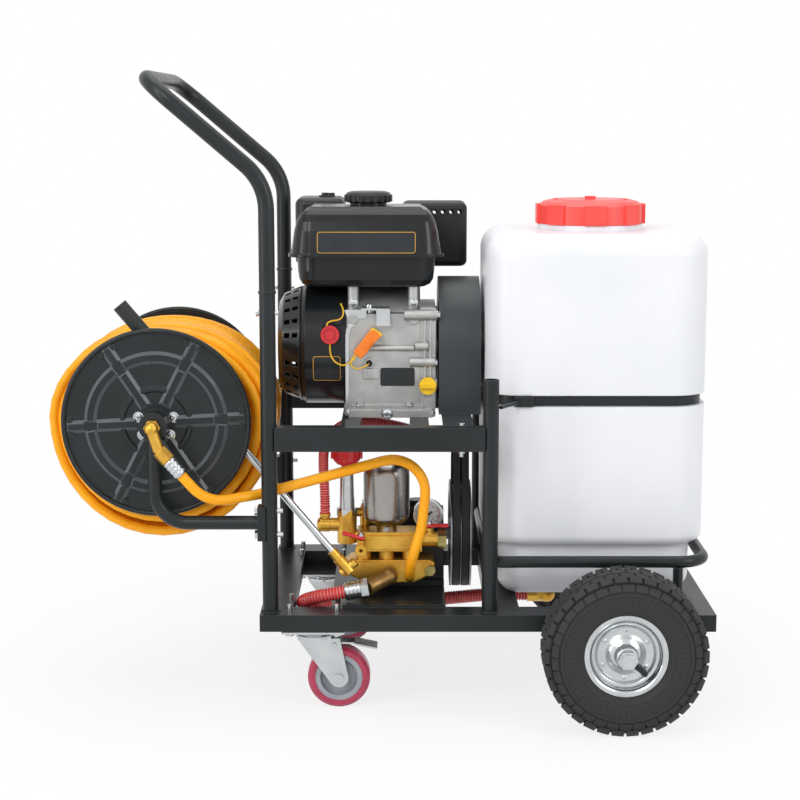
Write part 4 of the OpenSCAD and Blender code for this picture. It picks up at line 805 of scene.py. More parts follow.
def weld_pattern() -> Pattern:
    """Lay overlapping drops round a ring, as a weld bead runs.

    Returns:
        The pattern, with the ring's line along Z.
    """
    p = Pattern("weld_bead", count=24, radius=0.013, drop=0.0025, seed=1)
    ring = p.add("MeshCircle", {"Vertices": p.given["count"], "Radius": p.given["radius"]}).outputs[0]
    drop = p.add("MeshIcoSphere", {"Radius": p.given["drop"], "Subdivisions": 2}).outputs["Mesh"]
    round_drop = p.add("SetShadeSmooth", {0: drop}).outputs[0]
    size = p.add("InputIndex").outputs[0]
    vary = add_node(p.tree, "FunctionNodeRandomValue", {"Min": (0.8, 0.8, 0.55), "Max": (1.2, 1.2, 0.95),
                                                        "ID": size, "Seed": p.given["seed"]},
                    data_type="FLOAT_VECTOR").outputs[0]
    bead = p.add("InstanceOnPoints", {"Points": ring, "Instance": round_drop, "Scale": vary})
    return p.close(bead.outputs[0])


def bolt_pattern() -> Pattern:
    """Set hexagon bolt heads with washers on points, facing each point's own way.

    Returns:
        The pattern, which works on a mesh of points with a facing attribute.
    """
    p = Pattern("bolt_heads", geometry=True, head=0.006, rise=0.004, washer=0.008)
    facing = p.add("InputNamedAttribute", {"Name": "facing"}, data_type="FLOAT_VECTOR").outputs[0]
    turn = add_node(p.tree, "FunctionNodeAlignRotationToVector", {"Vector": facing}, axis="Z").outputs[0]
    half = p.math("MULTIPLY", p.given["rise"], 0.5)
    lift = add_node(p.tree, "ShaderNodeCombineXYZ", {2: half}).outputs[0]
    head = p.add("MeshCylinder", {"Vertices": 6, "Radius": p.given["head"], "Depth": p.given["rise"]})
    raised = p.add("Transform", {"Geometry": head.outputs["Mesh"], "Translation": lift}).outputs[0]
    thin = p.math("MULTIPLY", p.given["rise"], 0.35)
    disc = p.add("MeshCylinder", {"Vertices": 20, "Radius": p.given["washer"], "Depth": thin})
    crown_r = p.math("MULTIPLY", p.given["head"], 0.8)
    crown = p.add("MeshUVSphere", {"Segments": 12, "Rings": 6, "Radius": crown_r})
    top = add_node(p.tree, "ShaderNodeCombineXYZ", {2: p.given["rise"]}).outputs[0]
    dome = p.add("Transform", {"Geometry": crown.outputs["Mesh"], "Translation": top,
                               "Scale": (1, 1, 0.25)})
    whole = p.add("JoinGeometry", {0: raised})
    for extra in (disc.outputs["Mesh"], dome.outputs[0]):
        p.tree.links.new(extra, whole.inputs[0])
    heads = p.add("InstanceOnPoints", {"Points": p.given["Geometry"], "Instance": whole.outputs[0],
                                       "Rotation": turn})
    return p.close(heads.outputs[0])


def rib_pattern() -> Pattern:
    """Sweep a ring along a curve with ribs at an even pitch, and keep the distance along it.

    Returns:
        The pattern, which works on a curve.
    """
    p = Pattern("ribbed_hose", geometry=True, radius=0.01, pitch=0.005, depth=0.001, sides=20)
    step = p.math("DIVIDE", p.given["pitch"], 8.0)
    fine = p.add("ResampleCurve", {"Curve": p.given["Geometry"], "Length": step}, mode="LENGTH").outputs[0]
    along = p.add("SplineParameter").outputs["Length"]
    turn = p.math("MULTIPLY", p.math("DIVIDE", along, p.given["pitch"]), FULL_TURN)
    half_depth = p.math("MULTIPLY", p.given["depth"], 0.5)
    swell = p.math("MULTIPLY", p.math("SUBTRACT", p.math("SINE", turn), 1.0), half_depth)
    kept = p.add("StoreNamedAttribute", {"Geometry": fine, "Name": "along", "Value": along}).outputs[0]
    size = p.math("DIVIDE", p.math("ADD", p.given["radius"], swell), p.given["radius"])
    ring = p.add("CurvePrimitiveCircle", {"Resolution": p.given["sides"], "Radius": p.given["radius"]})
    tube = p.add("CurveToMesh", {"Curve": kept, "Profile Curve": ring.outputs[0], "Scale": size,
                                 "Fill Caps": True})
    return p.close(p.add("SetShadeSmooth", {0: tube.outputs[0]}).outputs[0])


@dataclass
class Stage:
    """Camera at the photograph's place, pale floor and soft studio light."""

    lens: float = 79.96
    eye: tuple[float, float, float] = (0.032, -2.9393, 0.9424)
    tilt: float = 80.863
    floor_radius: float = 40.0
    floor_sides: int = 64
    floor_drop: float = 0.0005
    ambient: float = 0.5

    LAMPS = (("left_key_softbox", (-1.95, -2.05, 2.3), (0.5, 1.4), 21.0),
             ("right_key_softbox", (-0.95, -2.75, 2.3), (0.5, 1.4), 22.0),
             ("side_softbox", (2.3, -1.8, 1.6), (0.9, 1.7), 24.0),
             ("strip_softbox", (-2.5, -1.5, 0.9), (0.4, 1.9), 17.0),
             ("top_softbox", (0.1, 0.3, 3.1), (2.6, 2.2), 34.0))

    def build(self) -> None:
        """Make the camera, the lamps, the world and the floor."""
        scene = bpy.context.scene
        scene.view_settings.view_transform = "Standard"
        data = bpy.data.cameras.new("camera")
        data.lens = self.lens
        data.sensor_width = 36.0
        camera = bpy.data.objects.new("camera", data)
        camera.location = self.eye
        camera.rotation_euler = (math.radians(self.tilt), 0.0, 0.0)
        scene.collection.objects.link(camera)
        scene.camera = camera
        for name, place, size, power in self.LAMPS:
            self.lamp(name, place, size, power)
        self.world()
        self.floor()

    def lamp(self, name: str, place: tuple[float, float, float], size: tuple[float, float],
             power: float) -> None:
        """Hang one softbox that looks at the cart's middle.

        Args:
            name: The lamp's name.
            place: Where it hangs, in metres.
            size: Width and height in metres.
            power: Watts.
        """
        data = bpy.data.lights.new(name, "AREA")
        data.shape = "RECTANGLE"
        data.size, data.size_y = size
        data.energy = power
        lamp = bpy.data.objects.new(name, data)
        lamp.location = place
        lamp.rotation_euler = (LAMPS_LOOK_AT - Vector(place)).to_track_quat("-Z", "Y").to_euler()
        bpy.context.scene.collection.objects.link(lamp)

    def seen(self, tree: bpy.types.NodeTree) -> bpy.types.NodeSocket:
        """Return a socket that is 1 for rays that show the background."""
        rays = add_node(tree, "ShaderNodeLightPath").outputs
        first = add_node(tree, "ShaderNodeMath", {0: rays["Is Camera Ray"], 1: rays["Is Glossy Ray"]},
                         operation="MAXIMUM")
        return add_node(tree, "ShaderNodeMath", {0: first.outputs[0], 1: rays["Is Transmission Ray"]},
                        operation="MAXIMUM").outputs[0]

    def world(self) -> None:
        """Show white behind the cart and light it with a weaker grey."""
        world = bpy.data.worlds.new("studio")
        bpy.context.scene.world = world
        world.use_nodes = True
        tree = world.node_tree
        tree.nodes.clear()
        strength = add_node(tree, "ShaderNodeMix", {0: self.seen(tree), 2: self.ambient, 3: 1.0}).outputs[0]
        light = add_node(tree, "ShaderNodeBackground", {"Color": (1, 1, 1, 1), "Strength": strength})
        add_node(tree, "ShaderNodeOutputWorld", {"Surface": light.outputs[0]})

    def floor(self) -> None:
        """Lay a pale round floor that fades into the white background."""
        material, tree, output = new_material("pale_floor")
        place = add_node(tree, "ShaderNodeTexCoord").outputs["Object"]
        out = add_node(tree, "ShaderNodeVectorMath", {0: place}, operation="LENGTH").outputs["Value"]
        fade = add_node(tree, "ShaderNodeMapRange",
                        {"Value": out, "From Min": 0.3, "From Max": 1.2, "To Min": 0.8},
                        interpolation_type="SMOOTHSTEP").outputs["Result"]
        share = add_node(tree, "ShaderNodeMath", {0: fade, 1: self.seen(tree)},
                         operation="MULTIPLY").outputs[0]
        matt = add_node(tree, "ShaderNodeBsdfDiffuse", {"Color": (0.86, 0.86, 0.86, 1)}).outputs[0]
        white = add_node(tree, "ShaderNodeEmission", {"Color": (1, 1, 1, 1), "Strength": 1.0}).outputs[0]
        both = add_node(tree, "ShaderNodeMixShader", {0: share, 1: matt, 2: white}).outputs[0]
        tree.links.new(both, output.inputs["Surface"])
        sides = self.floor_sides
        rim = [(self.floor_radius * math.cos(a), self.floor_radius * math.sin(a), -self.floor_drop)
               for a in (FULL_TURN * k / sides for k in range(sides))]
        data = bpy.data.meshes.new("floor")
        data.from_pydata(rim, [], [tuple(range(sides))])
        data.materials.append(material)
        link("floor", data)


@dataclass
class Hoses:
    """The three hoses that run between fittings."""

    spray_d: float = 16.5
    suction_d: float = 23.0
    return_d: float = 17.0
    suction_pitch: float = 4.7
    return_pitch: float = 3.8
    rib_depth: float = 0.09
    crimps: int = 4
    steps: int = 4
    spray_points: int = 36
    suction_points: int = 30

    DELIVERY = ((-308, -236, 390), (-269, -234, 344.9), (-187, -186, 349), (80, -167, 419), (66.5, -172, 290),
                (48, -175, 229.3), (48, -134, 202))
    DELIVERY_BENDS = (62, 80, 53, 150, 60)
    SUCTION = ((-56, -166, 184), (-126, -168.5, 172.2), (-126, -38, 121.5), (-10, -20, 121), (190, 50, 121),
               (252, 50, 121))
    SUCTION_BENDS = (50, 74, 150, 150)
    RETURN = ((-91, -88, 296), (-91, -88, 305), (-91, -88, 314), (-92, -83, 340), (-94, -68, 368),
              (-93, -42, 396), (-80, -5, 415), (-58, 35, 424), (-24, 75, 420.5), (20, 99, 410.5),
              (64, 102, 399), (106, 93, 391), (142, 89, 388), (151, 89, 388), (160, 89, 388))
    FERRULES = ((DELIVERY[0], (-19, -1, 22), 10.0), (SUCTION[0], (25.2, 0.9, 4.2), 13.5))
    CRIMP = ((0.3, 0.0), (1.3, 0.2), (1.3, 0.7), (0.3, 0.9))

    def build(self) -> None:
        """Make the smooth spray hose and the two ribbed hoses."""
        route = even_points(rounded_line(self.DELIVERY, self.DELIVERY_BENDS), self.spray_points)
        path = smooth_path(metres(route), self.steps)
        spray = curve_piece("delivery_hose_visual", path, self.spray_d * MM / 2, ORANGE_PVC)
        self.declare(spray, "delivery_hose")
        ribs = rib_pattern()
        route = even_points(rounded_line(self.SUCTION, self.SUCTION_BENDS), self.suction_points)
        self.ribbed_hose(ribs, "suction_hose", route, self.suction_d, self.suction_pitch)
        self.ribbed_hose(ribs, "return_hose", self.RETURN, self.return_d, self.return_pitch)
        self.ferrules()

    def ferrules(self) -> None:
        """Crimp a ferrule over the hose's end at the reel's elbow and one at the pump's elbow."""
        shells = []
        for number, (end, back, radius) in enumerate(self.FERRULES):
            along = -Vector(back)
            at = shift(Vector(end) - along) @ aim(along)
            step = along.length / self.crimps
            outline = [(radius + out, (k + share) * step)
                       for k in range(self.crimps) for out, share in self.CRIMP]
            outline += [(radius - 1, along.length + 1), (radius - 1, 0.5)]
            shells.append(lathe(f"ferrule_{number}", outline, at, ZINC, 32, ring=True))
        ride(join("crimped_ferrules", shells), CART)

    def ribbed_hose(self, ribs: Pattern, node: str, route: Sequence, diameter: float, pitch: float) -> None:
        """Make one ribbed hose in place of its node.

        Args:
            ribs: The ribbed sweep.
            node: The node that it stands for.
            route: Its points in millimetres.
            diameter: Outer diameter in millimetres.
            pitch: Distance between ribs in millimetres.
        """
        path = smooth_path(metres(route), self.steps)
        line = poly_line(node, path)
        hose = ribs.run(node + "_visual", ribbed(node + "_ribbed_pvc", pitch), base=line,
                        radius=diameter * MM / 2, pitch=pitch * MM, depth=self.rib_depth * diameter * MM)
        self.declare(hose, node)

    def declare(self, hose: bpy.types.Object, node: str) -> None:
        """Set a hose on the cart and hide the node that it stands for.

        Args:
            hose: The piece.
            node: The node that it stands for.
        """
        ride(hose, CART)
        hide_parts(node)


@dataclass
class HoseReel:
    """The wound spray hose: layers of turns from the core out, and its end fitting."""

    centre: tuple[float, float] = (-352.0, 462.8)
    hose_d: float = 16.5
    core_r: float = 50.0
    layers: tuple[float, ...] = (126.6, 141.0, 155.4, 169.7)
    near_face: float = -153.0
    far_face: float = 118.0
    outer_r: float = 178.0
    near_round: float = 50.0
    far_round: float = 25.0
    pitch: float = 18.0
    per_turn: int = 40
    sink: float = 38.0
    sag: float = 18.0
    loose: float = 6.0
    spread: float = 1.12
    outer_wander: float = 2.4
    inner_wander: float = 0.9
    inner_slack: float = 0.4
    lead_in: float = 90.0
    seed: int = 4

    flange_face: float = -182.0
    spokes: int = 6
    spoke_turn: float = 3.0
    arc_r: float = 103.5
    arc_parts: int = 12
    screw_r: float = 29.0
    fitting_back: float = 12.0

    SCREWS = (18.0, 162.0, 222.0, 318.0)
    SPOKES = ((34, 91), (116, 138))
    FITTING = ((0, 0), (9.6, 0), (9.6, 5), (9, 6), (9, 9), (9.6, 10), (9.6, 15), (9, 16), (9, 19), (9.6, 20),
               (9.6, 25), (6, 26), (6, 40), (0, 40))
    SCREW = ((0, 0), (8.5, 0), (8.5, 1.4), (6.2, 1.5), (6.2, 3.2), (5, 4.6), (2.5, 5.2), (0, 5.3))

    def reach(self, radius: float) -> tuple[float, float]:
        """Return how near and how far a layer's turns may lie inside the rounded coil.

        Args:
            radius: The layer's radius in millimetres.
        Returns:
            Lowest and highest Y of the turns' middle.
        """
        half = self.hose_d / 2
        ends = []
        sides = ((self.near_face, self.near_round, 1), (self.far_face, self.far_round, -1))
        for face, rounding, sign in sides:
            into = max(0.0, radius - (self.outer_r - rounding))
            inset = math.sqrt(max(0.0, (rounding - half) ** 2 - into ** 2))
            ends.append(face + sign * (rounding - (inset if into else rounding - half)))
        return ends[0], ends[1]

    def slack(self, angle: float, outer: bool) -> float:
        """Return how far a turn lies off its round: it sinks on top and hangs out below.

        Args:
            angle: Where on the turn.
            outer: True for the outermost layer, which hangs most.
        Returns:
            Outward distance in millimetres.
        """
        up = math.sin(angle)
        hang = self.sag * max(0.0, -up) ** 2 * (1.0 if outer else self.inner_slack)
        return hang - self.sink * max(0.0, up) ** 1.5

    def centreline(self) -> list[Vector]:
        """Wind the hose from the core outwards, layer by layer and to and fro.

        Returns:
            The centreline in metres.
        """
        draw = random.Random(self.seed)
        line: list[tuple[float, float, float]] = []
        angle = 0.0
        step = FULL_TURN / self.per_turn
        lead_y = self.reach(self.layers[0])[1] - self.lead_in
        inner = self.core_r + self.hose_d / 2 + 2
        for k in range(self.per_turn + 1):
            share = k / self.per_turn
            off = (self.layers[0] - inner) * share + share * self.slack(angle, False)
            line.append((inner + off, angle, lead_y))
            angle += step
        down = True
        y = lead_y
        for number, radius in enumerate(self.layers):
            low, high = self.reach(radius)
            goal = low if down else high
            outer = number == len(self.layers) - 1
            turns = max(1, round(abs(goal - y) / (self.pitch * (self.spread if outer else 1.0))))
            phases = [draw.uniform(0, FULL_TURN) for _ in range(turns + 2)]
            slack = 1.0 if outer else self.inner_slack
            lifts = [draw.uniform(0, self.loose) * slack for _ in range(turns + 2)]
            start = y
            steps = turns * self.per_turn
            before = self.layers[number - 1] if number else radius
            for k in range(1, steps + 1):
                turn = k // self.per_turn
                ease = min(1.0, k / (self.per_turn / 2), (steps - k) / (self.per_turn / 2))
                wander = self.outer_wander if outer else self.inner_wander
                stray = wander * ease * math.sin(angle + phases[turn])
                climb = before + (radius - before) * min(1.0, k / (self.per_turn / 3))
                part = (k % self.per_turn) / self.per_turn
                lift = lifts[turn] + (lifts[turn + 1] - lifts[turn]) * part * part * (3 - 2 * part)
                across = start + (goal - start) * k / steps + stray
                line.append((climb + lift + self.slack(angle, outer), angle, across))
                angle += step
            y = goal
            down = not down
        x, z = self.centre
        return [Vector((x + r * math.cos(a), y, z + r * math.sin(a))) * MM for r, a, y in line]

    def build(self, slots: Pattern) -> None:
        """Make the wound hose, its end fitting and the flange's screws.

        Args:
            slots: The ring pattern, which lays black bars in the screws' crosses as painted shade.
        """
        path = self.centreline()
        hose = curve_piece("wound_spray_hose", path, self.hose_d * MM / 2, ORANGE_PVC, 2)
        way = (path[-1] - path[-2]).normalized()
        at = Matrix.Translation(path[-1] - self.fitting_back * MM * way) @ aim(way)
        ferrule = lathe("hose_end_fitting", self.FITTING, at, BRASS, 24)
        ride(hose, "reel")
        ride(ferrule, "reel")
        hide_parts("hose_coil")
        x, z = self.centre
        heads = []
        for number, angle in enumerate(math.radians(a) for a in self.SCREWS):
            out = self.screw_r * Vector((math.cos(angle), 0, math.sin(angle)))
            at = shift(Vector((x, self.flange_face, z)) + out) @ Axis.NEAR.value
            heads.append(lathe(f"flange_screw_{number}", self.SCREW, at, ZINC, 24))
            # Black bars for each screw's cross recess: painted shade
            heads.append(slots.run(f"screw_cross_{number}", BLACK_INK_AND_SHADE, at, count=4, radius=1.5 * MM,
                                   side=5.1 * MM, start=angle, size=(3.0 * MM, 1.1 * MM, 0.5 * MM)))
        ride(join("flange_screws", heads), "reel")
        ride(self.pressed_ribs(), "reel")

    def pressed_ribs(self) -> bpy.types.Object:
        """Press the near flange's spokes and the arcs between them.

        Returns:
            The joined ribs.
        """
        x, z = self.centre
        at = shift((x, self.flange_face, z)) @ Axis.NEAR.value
        ribs = []
        for k in range(self.spokes):
            start = math.radians(self.spoke_turn + 360 * k / self.spokes)
            way = (math.cos(start), math.sin(start))
            for number, (inner, outer) in enumerate(self.SPOKES):
                line = [(inner * way[0], inner * way[1]), (outer * way[0], outer * way[1])]
                ribs.append(ridge(f"spoke_{k}_{number}", line, at))
            step = FULL_TURN / self.spokes / self.arc_parts
            angles = [start + step * part for part in range(1, self.arc_parts)]
            arc = [(self.arc_r * math.cos(a), self.arc_r * math.sin(a)) for a in angles]
            ribs.append(ridge(f"arc_{k}", arc, at))
        return join("flange_ribs", ribs)


@dataclass
class RoadWheel:
    """A pneumatic tyre with blocks of tread on a pressed rim, in place of one plain wheel."""

    side: int
    hand: str
    x: float = 377.0
    y: float = 300.0
    z: float = 127.0
    lugs: int = 34
    ribs: int = 68
    valve_angle: float = -46.0
    disc_face: float = 14.8
    dimples: int = 6
    dimple_r: float = 38.0
    dimple_turn: float = 28.0

    TYRE = ((54, 30), (64.5, 31), (66, 35), (71, 39), (73, 40), (73.6, 41.2), (75.4, 41.4), (76, 40.6),
            (84, 42), (96, 42), (97.2, 41.9), (98, 43.4), (101, 43), (101.8, 41.2), (106, 40.2), (113, 36.8),
            (118.6, 31), (122.3, 20), (124.2, 8))
    CAVITY = ((54, -22), (80, -30), (105, -28), (112, 0), (105, 28), (80, 30), (54, 22))
    ROWS = ((121.0, 33.6, -0.75, (6.0, 19.5, 11.0), 0.0), (122.6, 18.8, -0.2, (5.0, 20.6, 15.0), 0.5),
            (124.0, 0.0, 0.0, (5.0, 20.6, 17.5), 0.0), (109.4, 38.6, 0.5, (12.0, 18.6, 3.4), 0.5))
    LIP = ((53, 27), (55.5, 30.6), (59, 32.7), (62.5, 33.2), (64.7, 32.2), (65, 30.4), (62, 30.3), (57, 29),
           (54.4, 26), (53.9, 22))
    HUB = ((8.6, 45), (15.5, 45), (17, 43.5), (17, 29), (18.5, 25.5), (22, 23.5), (26, 21), (30, 16.5))
    DISC = ((34, 14.8), (42, 14.8), (44.5, 16), (46.2, 19), (48.5, 20.2), (51.6, 21))
    WELL = ((47, 17.4), (44, 12), (44, -14))
    INSIDE = ((51.6, -21), (42, -15.5), (41.5, 10), (34, 11.8), (28.5, 13.5), (24.5, 18), (17, 20.5),
              (17, -45), (8.6, -45))
    VALVE = ((0, 0), (5, 0), (5, 6), (4.2, 8), (4.2, 14), (3.2, 14.4), (3.2, 17), (4.3, 17.4), (4.3, 25),
             (3.6, 27), (0, 27.4))
    VALVE_FOOT = (44.5, 0, 17)
    VALVE_WAY = (-23, 0, 13)
    DIMPLE = ((0, 1.3), (1.4, 1.2), (2.6, 0.7), (3.4, 0))

    def build(self, rings: Pattern) -> None:
        """Make the tyre, its tread and the rim.

        Args:
            rings: The ring pattern.
        """
        axis = Axis.NEAR if self.side < 0 else Axis.FAR
        at = shift((self.x, self.side * self.y, self.z)) @ axis.value
        body = "wheel_" + self.hand
        section = self.TYRE + tuple((r, -h) for r, h in reversed(self.TYRE)) + self.CAVITY
        tyre = lathe(f"tyre_{self.hand}_carcass", section, at, TYRE_RUBBER, 96, ring=True)
        ride(tyre, body)
        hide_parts("tyre_" + self.hand)
        ride(self.tread(rings, at), body)
        rim = self.rim(at)
        ride(rim, body)
        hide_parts("rim_" + self.hand)

    def tread(self, rings: Pattern, at: Matrix) -> bpy.types.Object:
        """Lay rows of low blocks round the tyre and fine ribs on its shoulders.

        Args:
            rings: The ring pattern.
            at: The wheel's place.
        Returns:
            The joined tread.
        """
        blocks = []
        for number, (radius, out, lean, size, stagger) in enumerate(self.ROWS):
            for hand in ((1, -1) if out else (1,)):
                blocks.append(rings.run(
                    f"blocks_{number}_{hand}", TYRE_RUBBER, at, bevel=0.7 * MM, count=self.lugs,
                    radius=radius * MM, side=hand * out * MM, lean=hand * lean,
                    start=stagger * FULL_TURN / self.lugs, size=tuple(s * MM for s in size), taper=0.95))
        for hand in (1, -1):
            blocks.append(rings.run(
                f"ribs_{hand}", TYRE_RUBBER, at, count=self.ribs, radius=88 * MM, side=hand * 42.0 * MM,
                size=(13 * MM, 1.6 * MM, 1.5 * MM)))
        return join(f"tyre_{self.hand}_tread", blocks)

    def rim(self, at: Matrix) -> bpy.types.Object:
        """Press the rim: rolled lips, a sunk disc with dimples, a hub and a tyre valve.

        Args:
            at: The wheel's place.
        Returns:
            The joined rim.
        """
        far_lip = tuple((r, -h) for r, h in reversed(self.LIP))
        section = self.HUB + self.DISC + self.LIP + self.WELL + far_lip + self.INSIDE
        pieces = [lathe("rim_press", section, at, ZINC, 96, ring=True)]
        for k in range(self.dimples):
            turn = Matrix.Rotation(math.radians(360 / self.dimples * k + self.dimple_turn), 4, "Z")
            foot = at @ turn @ shift((self.dimple_r, 0, self.disc_face))
            pieces.append(lathe(f"dimple_{k}", self.DIMPLE, foot, ZINC, 16))
        turn = Matrix.Rotation(math.radians(self.valve_angle), 4, "Z")
        foot = at @ turn @ shift(self.VALVE_FOOT) @ aim(Vector(self.VALVE_WAY))
        pieces.append(lathe("valve", self.VALVE, foot, BLACK_ABS, 20))
        return join(f"rim_{self.hand}_visual", pieces)


def join(name: str, pieces: Sequence[bpy.types.Object]) -> bpy.types.Object:
    """Join mesh pieces of one body into one mesh.

    Args:
        name: The joined piece's name.
        pieces: The pieces, which go.
    Returns:
        The joined piece.
    """
    form = bmesh.new()
    finishes: list[bpy.types.Material] = []
    for piece in pieces:
        first = len(form.faces)
        form.from_mesh(piece.data)
        form.faces.ensure_lookup_table()
        dressed = [m for m in piece.data.materials]
        for face in form.faces[first:]:
            wanted = dressed[face.material_index]
            if wanted not in finishes:
                finishes.append(wanted)
            face.material_index = finishes.index(wanted)
        bpy.data.objects.remove(piece)
    data = bpy.data.meshes.new(name)
    form.to_mesh(data)
    form.free()
    for finish in finishes:
        data.materials.append(finish)
    return link(name, data)


def bolts(pattern: Pattern, name: str, places: Sequence[tuple[Sequence[float], Sequence[float]]],
          finish: Finish, head: float, rise: float, washer: float) -> bpy.types.Object:
    """Set bolt heads at places on the cart.

    Args:
        pattern: The bolt pattern.
        name: The piece's name.
        places: Point in millimetres and facing of each head.
        finish: The heads' finish.
        head: Radius over the corners in millimetres.
        rise: Height in millimetres.
        washer: Radius of the washer in millimetres.
    Returns:
        The piece.
    """
    data = bpy.data.meshes.new(name)
    data.from_pydata([tuple(c * MM for c in point) for point, _ in places], [], [])
    facing = data.attributes.new("facing", "FLOAT_VECTOR", "POINT")
    for item, (_, way) in zip(facing.data, places):
        item.vector = way
    return pattern.run(name, finish, base=data, head=head * MM, rise=rise * MM, washer=washer * MM)


def rounded_outline(width: float, height: float, corner: float, arc: int = 6,
                    run: int = 8) -> list[tuple[float, float]]:
    """Return the outline of a rectangle with round corners, about its middle.

    Args:
        width: Width in millimetres.
        height: Height in millimetres.
        corner: Corner radius in millimetres.
        arc: Steps in each corner.
        run: Steps along each straight edge, so that it can follow a round surface.
    Returns:
        Points round the outline.
    """
    bends = []
    for turn, (sx, sy) in enumerate(((1, 1), (-1, 1), (-1, -1), (1, -1))):
        middle = (sx * (width / 2 - corner), sy * (height / 2 - corner))
        angles = [math.pi / 2 * (turn + k / arc) for k in range(arc + 1)]
        bends.append([(middle[0] + corner * math.cos(a), middle[1] + corner * math.sin(a)) for a in angles])
    points = []
    for bend, after in zip(bends, bends[1:] + bends[:1]):
        (u, v), (p, q) = bend[-1], after[0]
        points += bend + [(u + (p - u) * k / run, v + (q - v) * k / run) for k in range(1, run)]
    return points


def ring_faces(rows: int, n: int) -> list[tuple[int, int, int, int]]:
    """Return the faces between rings of n points each, one row for each pair of rings."""
    return [(k * n + i, k * n + (i + 1) % n, (k + 1) * n + (i + 1) % n, (k + 1) * n + i)
            for k in range(rows) for i in range(n)]


def bare_plate(name: str, width: float, height: float, place: Callable[[float, float, float], Vector],
               edge: Finish, line: float = 1.1) -> bpy.types.Object:
    """Make a bare name plate with a thin line round it, laid on a surface.

    Args:
        name: The piece's name.
        width: Width in millimetres.
        height: Height in millimetres.
        place: Takes across, up and out in millimetres to a point in metres.
        edge: Finish of the printed line.
        line: Width of the printed line in millimetres.
    Returns:
        The plate with its line.
    """
    corner, out, rows = 4.0, 0.35, 14
    outline = rounded_outline(width, height, corner)
    inner = rounded_outline(width - 2 * line, height - 2 * line, corner - line)
    points = [place(u * k / rows, v * k / rows, out) for k in range(rows + 1) for u, v in inner]
    film = mesh_piece(name + "_film", points, ring_faces(rows, len(inner)), PLATE_FILM)
    rings = ((out, inner), (out + 0.1, inner), (out + 0.1, outline), (0, outline))
    points = [place(u, v, h) for h, ring in rings for u, v in ring]
    rim = mesh_piece(name + "_line", points, ring_faces(len(rings) - 1, len(outline)), edge)
    return join(name, [film, rim])


def prism(name: str, outline: Sequence[tuple[float, float]], y: tuple[float, float], finish: Finish,
          round_edge: float) -> bpy.types.Object:
    """Cut a plate or block from an outline seen from the near side, with rounded edges.

    Args:
        name: The piece's name.
        outline: X and Z pairs in millimetres, in order.
        y: Near and far face in millimetres.
        finish: Its finish.
        round_edge: Radius of its edges in millimetres.
    Returns:
        The mesh object.
    """
    n = len(outline)
    points = [Vector((x, depth, z)) * MM for depth in y for x, z in outline]
    faces = [tuple(range(n)), tuple(range(n, 2 * n)), *ring_faces(1, n)]
    piece = mesh_piece(name, points, faces, finish, smooth=False)
    form = bmesh.new()
    form.from_mesh(piece.data)
    bmesh.ops.bevel(form, geom=form.edges[:], offset=round_edge * MM, segments=2, affect="EDGES",
                    profile=0.5)
    form.to_mesh(piece.data)
    form.free()
    return piece


